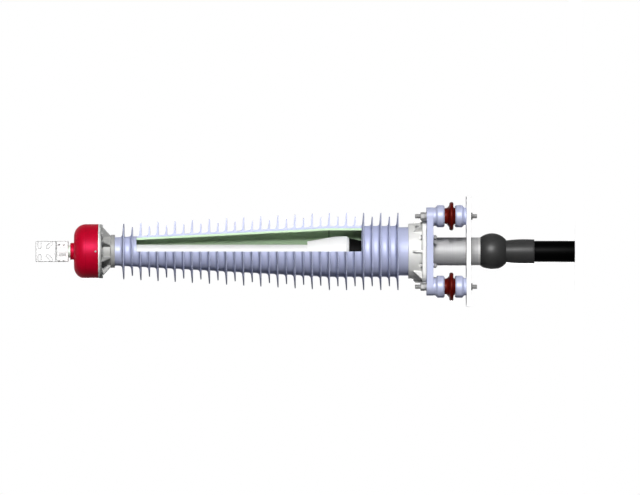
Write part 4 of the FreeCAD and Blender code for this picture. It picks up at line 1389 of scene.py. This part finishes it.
@dataclass
class CableInside(SubAssembly):
    """The cable's stripped layers and the stress cone inside the insulator."""

    insulation_r: float = 31.3 * MM
    conductor_bore_r: float = 15.1 * MM
    end_edge: float = 0.3 * MM
    end_round: float = 3 * MM
    screen_r: float = 33.5 * MM
    seat: float = 552 * MM
    cone_foot_r: float = 62 * MM
    cone_max_r: float = 69.5 * MM
    cone_shoulder_r: float = 68 * MM
    cone_tip_r: float = 46.3 * MM
    chamfer: float = 11 * MM
    band: float = 53 * MM
    taper: float = 125 * MM
    screen_overlap: float = 20 * MM
    deflector_r: float = 60.5 * MM
    deflector_end_r: float = 38 * MM
    deflector_length: float = 108 * MM
    deflector_edge: float = 1.2 * MM
    steps: int = 112

    def cone(self) -> Mesh:
        """Turns the white stress cone.

        Returns:
            The finished mesh.
        """
        screen_r = self.screen_r + PLAY
        bore_r = self.insulation_r + PLAY
        step = self.seat + self.screen_overlap + PLAY
        shoulder = self.seat + self.chamfer + self.band
        tip = shoulder + self.taper
        corners = [
            (screen_r, self.seat),
            (self.cone_foot_r, self.seat, 1.5 * MM),
            (self.cone_max_r, self.seat + self.chamfer, 4 * MM),
            (self.cone_shoulder_r, shoulder, 6 * MM),
            (self.cone_tip_r, tip, 1.5 * MM),
            (bore_r, tip, 1 * MM),
            (bore_r, step),
            (screen_r, step),
        ]
        return turned("white_cone", corners, self.steps)

    def deflector(self) -> Mesh:
        """Turns the black lower part of the stress cone.

        Returns:
            The finished mesh.
        """
        foot = self.seat - self.deflector_length
        bore_r = self.screen_r + PLAY
        edge = self.deflector_edge
        outside = [(self.deflector_end_r, foot, edge), (self.deflector_r, self.seat, edge)]
        return turned("black_deflector", [(bore_r, foot), *outside, (bore_r, self.seat)], self.steps)

    def insulation(self) -> Mesh:
        """Turns the white insulation, with its upper end rounded off.

        Returns:
            The finished mesh.
        """
        bore_r = self.conductor_bore_r
        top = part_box("cable_insulation")[1].z
        outside = [(self.insulation_r, CABLE_END, self.end_edge), (self.insulation_r, top, self.end_round)]
        return turned("white_insulation", [(bore_r, CABLE_END), *outside, (bore_r, top)], self.steps)

    def build(self) -> None:
        """Makes and dresses the inner pieces."""
        self.dress(self.cone(), "cone_white", "stress_cone")
        self.dress(self.deflector(), "deflector_black", "field_deflector")
        self.dress(self.insulation(), "insulation_white", "cable_insulation")
        self.dress_node("cable_conductor", "conductor_copper")
        self.dress_node("insulation_screen", "screen_black")
        self.dress_node("cable_bedding", "bedding_black")
        self.dress_node("metal_sheath", "sheath_metal")


@dataclass
class CableEntry(SubAssembly):
    """The metal tube under the base plate, the wiped bulb, the sleeve and the cable's jacket."""

    tube_r: float = 64 * MM
    tube_wall: float = 4 * MM
    tube_top: float = 200 * MM
    tube_end: float = -44 * MM
    tube_edge: float = 1 * MM
    flange_r: float = 78 * MM
    flange_thickness: float = 8 * MM
    flange_edge: float = 0.6 * MM
    bulb_r: float = 83 * MM
    bulb_centre: float = -96.85 * MM
    bulb_end: float = -161.54 * MM
    bulb_steps: int = 30
    sheath_r: float = 43.6 * MM
    sleeve_top_r: float = 50.8 * MM
    sleeve_belly_r: float = 55.6 * MM
    sleeve_end_r: float = 54.8 * MM
    sleeve_end: float = -289.54 * MM
    sleeve_lip: float = 1.6 * MM
    sleeve_swell: float = 0.62
    sleeve_steps: int = 14
    grip_r: float = 47.8 * MM
    jacket_r: float = 48.3 * MM
    jacket_edge: float = 0.5 * MM
    steps: int = 112

    def tube(self) -> Mesh:
        """Turns the tube with its flange.

        Returns:
            The finished mesh.
        """
        bore_r = self.tube_r - self.tube_wall
        flange_foot = self.tube_top - self.flange_thickness
        corners = [
            (bore_r, self.tube_end),
            (self.tube_r, self.tube_end, self.tube_edge),
            (self.tube_r, flange_foot),
            (self.flange_r, flange_foot, self.flange_edge),
            (self.flange_r, self.tube_top, self.flange_edge),
            (bore_r, self.tube_top),
        ]
        return turned("entry_tube", corners, self.steps)

    def bulb(self) -> Mesh:
        """Turns the round bulb that closes the tube's end.

        Returns:
            The finished mesh.
        """
        first = math.asin((self.bulb_end - self.bulb_centre) / self.bulb_r)
        sweep = math.acos(self.tube_r / self.bulb_r) - first
        turns = [first + sweep * step / self.bulb_steps for step in range(self.bulb_steps + 1)]
        radius, middle = self.bulb_r, self.bulb_centre
        arc = [(radius * math.cos(turn), middle + radius * math.sin(turn)) for turn in turns]
        corners = [(self.sheath_r, self.bulb_end), *arc, (self.sheath_r, self.tube_end)]
        return turned("sealing_bulb", corners, self.steps)

    def sleeve(self) -> Mesh:
        """Turns the shrunk sleeve, which swells a little towards its middle.

        Returns:
            The finished mesh.
        """
        end, end_r = self.sleeve_end, self.sleeve_end_r
        foot = end + self.sleeve_lip
        swell = self.sleeve_swell * (self.sleeve_belly_r - self.sleeve_top_r)
        points = [(self.grip_r, end), (end_r - 1.8 * MM, end), (end_r - 0.5 * MM, end + 0.4 * MM)]
        for index in range(self.sleeve_steps + 1):
            share = index / self.sleeve_steps
            straight = end_r + share * (self.sleeve_top_r - end_r)
            radius = straight + swell * math.sin(math.pi * share)
            points.append((radius, foot + share * (self.bulb_end - foot)))
        return turned("shrunk_sleeve", [*points, (self.grip_r, self.bulb_end)], self.steps)

    def jacket(self) -> Mesh:
        """Turns the cable's jacket down to its cut end.

        Returns:
            The finished mesh.
        """
        inner_r = self.sheath_r + PLAY
        grip_r = self.grip_r - PLAY
        grip_top = self.bulb_end - PLAY
        step = self.sleeve_end - 2 * MM
        outside = [(self.jacket_r, CABLE_END, self.jacket_edge), (self.jacket_r, step, 0.2 * MM)]
        grip = [(grip_r, step + 0.4 * MM), (grip_r, grip_top), (inner_r, grip_top)]
        return turned("outer_jacket", [(inner_r, CABLE_END), *outside, *grip], self.steps)

    def build(self) -> None:
        """Makes and dresses the cable entry."""
        self.dress(self.tube(), "tube_metal", "entrance_tube")
        self.dress(self.bulb(), "bulb_black", "wiped_bulb")
        self.dress(self.sleeve(), "sleeve_grey", "shrink_sleeve")
        self.dress(self.jacket(), "jacket_black", "cable_jacket")


@dataclass
class BaseGroup(SubAssembly):
    """The base plate, the cast fitting on it, and the bolts between them."""

    plate_half: float = 200 * MM
    corner_r: float = 40 * MM
    corner_faces: int = 14
    plate_edge: float = 1.2 * MM
    underside: float = 170 * MM
    plate_top: float = 200 * MM
    rim_top: float = 220 * MM
    bore_r: float = 64.1 * MM
    recess_r: float = 78.1 * MM
    recess_depth: float = 8 * MM
    bolt_circle_r: float = 141 * MM
    bolt_offset_deg: float = 26.8
    side_count: int = 4
    bolt_hole_r: float = 6.75 * MM
    bolt_flats: float = 19 * MM
    head_height: float = 7.5 * MM
    nut_height: float = 10.5 * MM
    washer_r: float = 12 * MM
    washer_thickness: float = 3 * MM
    washer_edge: float = 0.5 * MM
    bolt_end: float = 3 * MM
    cast_voxel: float = 2.1 * MM

    def bolt_places(self) -> list[Matrix]:
        """Two places on each side of the square rim.

        Returns:
            One matrix for each bolt.
        """
        offsets = (-self.bolt_offset_deg, self.bolt_offset_deg)
        first, second = (circle_places(self.bolt_circle_r, self.side_count, offset) for offset in offsets)
        return first + second

    def plate(self) -> Mesh:
        """Makes the square base plate with its round corners and holes.

        Returns:
            The finished mesh.
        """
        half = self.plate_half
        plate = block("square_base", (-half, -half, self.underside), (half, half, self.plate_top))
        bevel_edges(plate, along(2), self.corner_r, self.corner_faces)
        soften(plate, self.plate_edge, from_deg=60)
        low = self.underside - OVERSHOOT
        high = self.plate_top + OVERSHOOT
        drill(plate, self.bore_r, low, high, AXIS)
        drill(plate, self.recess_r, self.plate_top - self.recess_depth, high, AXIS)
        drill(plate, STUD_HOLE_R, low, high, square_places())
        drill(plate, self.bolt_hole_r, low, high, self.bolt_places())
        return plate

    def fixings(self) -> None:
        """Makes and dresses the bolts through rim and plate, with their washers and nuts underneath."""
        seat = self.underside - self.washer_thickness
        foot = seat - self.nut_height
        bore_r = Thread.M12.bore_r
        ends = (foot - self.bolt_end, self.rim_top, self.head_height)
        shank = bolt("flange_bolt", Thread.M12, self.bolt_flats, *ends)
        ring = washer(bore_r, self.washer_r, seat, self.underside, self.washer_edge, steps=48)
        nut = hexagon("nut", self.bolt_flats, foot, seat, bore_r)
        places = self.bolt_places()
        self.dress(group_at(shank, "flange_bolt_set", places), "fastener_steel", "flange_bolts")
        self.dress(group_at(ring, "flange_washer_set", places), "plate_lavender", "flange_washers")
        self.dress(group_at(nut, "flange_nut_set", places), "fastener_steel", "flange_nuts")

    def build(self) -> None:
        """Makes and dresses the base."""
        self.dress(self.plate(), "plate_lavender", "base_plate", flat_faces=True)
        self.dress(cast("bottom_fitting", "bottom_casting", self.cast_voxel), "cast_pale", "bottom_fitting")
        self.fixings()
        self.dress_node("base_gasket", "gasket_black")


@dataclass(frozen=True)
class Fixing:
    """Where four studs end, and what sits on them: washer, spring washer and nut, outwards from a seat."""

    name: str
    stud_bottom: float
    stud_top: float
    seat: float
    outwards: int
    thicknesses: tuple[float, float, float]
    nut_turn_deg: float


@dataclass
class StandOffs(SubAssembly):
    """Four stand-off insulators with their studs, washers and nuts."""

    boss_r: float = 39 * MM
    boss_height: float = 10 * MM
    boss_edge: float = 1.2 * MM
    cap_r: float = 50 * MM
    cap_height: float = 41 * MM
    bevel_height: float = 10 * MM
    bevel_round: float = 3 * MM
    cap_round: float = 9 * MM
    stud_depth: float = 32 * MM
    resin_r: float = 37 * MM
    resin_height: float = 48 * MM
    shed_r: float = 64.5 * MM
    tip_r: float = 8.4 * MM
    root_r: float = 8 * MM
    support_top: float = 20 * MM
    stud_lead: float = 1.6 * MM
    flats: float = 32 * MM
    washer_r: float = 19 * MM
    spring_r: float = 17 * MM
    washer_edge: float = 0.6 * MM
    slit_half: float = 0.9 * MM
    slit_tilt_deg: float = 25.0
    upper: Fixing = Fixing("upper", 138 * MM, 251.5 * MM, 200 * MM, 1, (4 * MM, 5 * MM, 18 * MM), 30)
    lower: Fixing = Fixing("lower", -28 * MM, 52 * MM, 15.5 * MM, -1, (3 * MM, 4 * MM, 16 * MM), 0)

    def cap(self) -> Mesh:
        """Turns a cap with its boss at height zero.

        Returns:
            The finished mesh.
        """
        top = self.boss_height + self.cap_height
        bore_r = Thread.M20.bore_r
        corners = [
            (bore_r, 0),
            (self.boss_r, 0, self.boss_edge),
            (self.boss_r, self.boss_height, self.boss_edge),
            (self.cap_r, self.boss_height + self.bevel_height, self.bevel_round),
            (self.cap_r, top, self.cap_round),
            (0, top),
            (0, self.stud_depth),
            (bore_r, self.stud_depth),
        ]
        return turned("cap", corners, step_deg=12)

    def resin(self) -> Mesh:
        """Turns the resin body with its round-tipped shed.

        Returns:
            The finished mesh.
        """
        low = self.root_r
        high = self.root_r + 2 * self.tip_r
        corners = [
            (0, 0),
            (self.resin_r, 0),
            (self.resin_r, low, 0.98 * self.root_r),
            (self.shed_r, low, 0.99 * self.tip_r),
            (self.shed_r, high, 0.99 * self.tip_r),
            (self.resin_r, high, self.shed_r - self.tip_r - self.resin_r),
            (self.resin_r, self.resin_height),
            (0, self.resin_height),
        ]
        return turned("resin", corners, steps=112, step_deg=9)

    def stud(self, bottom: float, top: float) -> Mesh:
        """Makes a stud between two heights, with both ends chamfered.

        Args:
            bottom, top: heights of its ends.

        Returns:
            The finished mesh.
        """
        rod = threaded_rod("stud", Thread.M20, bottom, top)
        radius = Thread.M20.value[0]
        neck, wide = radius - self.stud_lead, radius + 0.5 * MM
        under, over = bottom - HAIR, top + HAIR
        slopes = [(neck, under), (wide, bottom + self.stud_lead), (wide, top - self.stud_lead), (neck, over)]
        combine(rod, turned("blank", [(0, under), *slopes, (0, over)], steps=56), Cut.KEEP)
        return rod

    def washer(self, radius: float, low: float, high: float, split: bool) -> Mesh:
        """Makes a washer.

        Args:
            radius: its outer radius.
            low, high: its heights.
            split: whether it is a spring washer with a slanted slit.

        Returns:
            The washer.
        """
        piece = washer(Thread.M20.bore_r, radius, low, high, self.washer_edge, steps=64)
        if split:
            half = self.slit_half
            slit = block("slit", (-half, -2 * self.washer_r, low - 3 * MM), (half, 0, high + 3 * MM))
            middle = Vector((0, 0, (low + high) / 2))
            tilt = Matrix.Rotation(math.radians(self.slit_tilt_deg), 4, "Y")
            slit.matrix_world = Matrix.Translation(middle) @ tilt @ Matrix.Translation(-middle)
            combine(piece, settle(slit, "slit"), Cut.REMOVE)
        return piece

    def bodies(self) -> None:
        """Makes the caps and the resin bodies and dresses them one by one."""
        cap = self.cap()
        resin = self.resin()
        middle = self.support_top + self.boss_height + self.cap_height
        top = middle + self.resin_height + self.cap_height + self.boss_height
        over = Matrix.Rotation(math.pi, 4, "X")
        parts = (
            (cap, "foot_cap", "cap_lavender", "lower_cap", Matrix.Translation((0, 0, self.support_top))),
            (resin, "body", "resin_brown", "resin", Matrix.Translation((0, 0, middle))),
            (cap, "head_cap", "cap_lavender", "upper_cap", Matrix.Translation((0, 0, top)) @ over),
        )
        for number, place in enumerate(square_places(), start=1):
            for model, name, slot, node, lift in parts:
                piece = duplicate(model, f"standoff_{number}_{name}", place @ lift)
                self.dress(piece, slot, f"standoff_{number}_{node}")
        for model in (cap, resin):
            bpy.data.objects.remove(model, do_unlink=True)

    def fixings(self, fixing: Fixing) -> None:
        """Makes and dresses four studs with their washers and nuts.

        Args:
            fixing: the studs' ends and what sits on them.
        """
        steps = [fixing.seat]
        for thickness in fixing.thicknesses:
            steps.append(steps[-1] + fixing.outwards * thickness)
        plain, spring, held = (sorted(pair) for pair in zip(steps, steps[1:]))
        nut = hexagon("nut", self.flats, *held, Thread.M20.bore_r)
        nut.matrix_world = Matrix.Rotation(math.radians(fixing.nut_turn_deg), 4, "Z")
        models = (
            ("stud_set", "studs", self.stud(fixing.stud_bottom, fixing.stud_top)),
            ("washer_set", "plain_washers", self.washer(self.washer_r, *plain, split=False)),
            ("spring_set", "spring_washers", self.washer(self.spring_r, *spring, split=True)),
            ("nut_set", "nuts", settle(nut, "nut")),
        )
        for name, node, model in models:
            group = group_at(model, f"{fixing.name}_{name}", square_places())
            self.dress(group, "fastener_steel", f"{fixing.name}_{node}")

    def build(self) -> None:
        """Makes and dresses the stand-offs."""
        self.bodies()
        self.fixings(self.upper)
        self.fixings(self.lower)


@dataclass
class SupportPlate(SubAssembly):
    """The white plate that the stand-offs stand on."""

    half: float = 250 * MM
    thickness: float = 20 * MM
    edge: float = 2.6 * MM
    bore_r: float = 100 * MM
    counterbore_r: float = 24 * MM
    counterbore_floor: float = 15.5 * MM

    def build(self) -> None:
        """Makes and dresses the plate."""
        plate = block("white_support", (-self.half, -self.half, 0), (self.half, self.half, self.thickness))
        soften(plate, self.edge, segments=4)
        over = self.thickness + OVERSHOOT
        drill(plate, self.bore_r, -OVERSHOOT, over, AXIS, steps=128)
        drill(plate, STUD_HOLE_R, -OVERSHOOT, over, square_places())
        drill(plate, self.counterbore_r, -OVERSHOOT, self.counterbore_floor, square_places(), steps=64)
        self.dress(plate, "support_white", "support_plate", flat_faces=True)


@dataclass(frozen=True)
class Lamp:
    """A broad soft lamp far away, or one that is only seen mirrored, as a softbox that draws highlights."""

    name: str
    towards: Spot
    strength: float
    angle_deg: float
    only_shines: bool = False

    def hang(self) -> None:
        """Adds the lamp to the scene."""
        data = bpy.data.lights.new(self.name, "SUN")
        data.energy = self.strength
        data.angle = math.radians(self.angle_deg)
        lamp = bpy.data.objects.new(self.name, data)
        lamp.rotation_mode = "QUATERNION"
        lamp.rotation_quaternion = (-Vector(self.towards).normalized()).to_track_quat("-Z", "Y")
        lamp.visible_diffuse = not self.only_shines
        bpy.context.scene.collection.objects.link(lamp)


@dataclass
class Studio:
    """The pale floor, the soft lamps, the white surround and the camera."""

    floor_height: float = -0.4736
    floor_r: float = 2.2
    floor_grey: float = 0.85
    floor_glow: float = 0.78
    aim_x: float = 0.0182
    aim_z: float = 0.6837
    frame_width: float = 2.906
    lens: float = 1000.0
    sensor: float = 36.0
    ambient: float = 0.075
    lamps: tuple[Lamp, ...] = (
        Lamp("key_softbox", (0.5, -1, 0), 3.2, 7),
        Lamp("shine_softbox", (0.35, -1, 0.13), 18.0, 10, only_shines=True),
        Lamp("back_softbox", (-0.3, 1, 0), 2.2, 8),
        Lamp("top_softbox", (0, 0, 1), 0.6, 20),
    )

    def floor(self) -> None:
        """Lays a round pale floor under the cable's end, which glows for the camera only."""
        deselect_all()
        place = (0, 0, self.floor_height)
        bpy.ops.mesh.primitive_circle_add(vertices=96, radius=self.floor_r, fill_type="NGON", location=place)
        floor = settle(bpy.context.active_object, "floor")
        tree = Tree(bpy.data.materials.new("pale_floor"))
        tree.shade(Base_Color=(self.floor_grey,) * 3, Roughness=0.9, Specular_IOR_Level=0.1)
        seen = tree.add("LightPath").outputs["Is Camera Ray"]
        glow = tree.add("Emission", {"Strength": tree.math("MULTIPLY", seen, self.floor_glow)})
        both = tree.add("AddShader", {0: tree.shader.outputs[0], 1: glow.outputs[0]})
        tree.feed(tree.nodes["Material Output"], {"Surface": both.outputs[0]})
        floor.data.materials.append(tree.owner)

    def surround(self) -> None:
        """Makes the world white where it is seen, mirrored or looked through, and dim as a light."""
        world = bpy.data.worlds.new("white_surround")
        bpy.context.scene.world = world
        tree = Tree(world)
        path = tree.add("LightPath").outputs
        seen = tree.math("MAXIMUM", path["Is Camera Ray"], path["Is Glossy Ray"])
        seen = tree.math("MAXIMUM", seen, path["Is Transmission Ray"])
        tree.shade(Color=(1, 1, 1), Strength=tree.span(seen, 0, 1, self.ambient, 1))

    def camera(self) -> None:
        """Sets up the camera at the front, rolled so that the head is at the left."""
        data = bpy.data.cameras.new("front")
        data.lens = self.lens
        data.sensor_width = self.sensor
        distance = self.frame_width * self.lens / self.sensor
        data.clip_end = 2 * distance
        camera = bpy.data.objects.new("front", data)
        right, up, back = Vector((0, 0, -1)), Vector((1, 0, 0)), Vector((0, -1, 0))
        turn = Matrix((right, up, back)).transposed().to_4x4()
        camera.matrix_world = Matrix.Translation((self.aim_x, -distance, self.aim_z)) @ turn
        bpy.context.scene.collection.objects.link(camera)
        bpy.context.scene.camera = camera

    def build(self) -> None:
        """Sets up the whole studio."""
        self.floor()
        for lamp in self.lamps:
            lamp.hang()
        self.surround()
        self.camera()
        bpy.context.scene.view_settings.view_transform = "Standard"


def main() -> None:
    """Builds every sub-assembly in order, then the studio."""
    logging.basicConfig(level=logging.INFO, format="%(message)s")
    materials = Wardrobe().make()
    parts = (SupportPlate, StandOffs, BaseGroup, CableEntry, CableInside, Insulator, HeadGroup, Connector)
    for part in parts:
        log.info("building %s", part.__name__)
        part(materials).build()
    Studio().build()


if __name__ == "__main__":
    main()
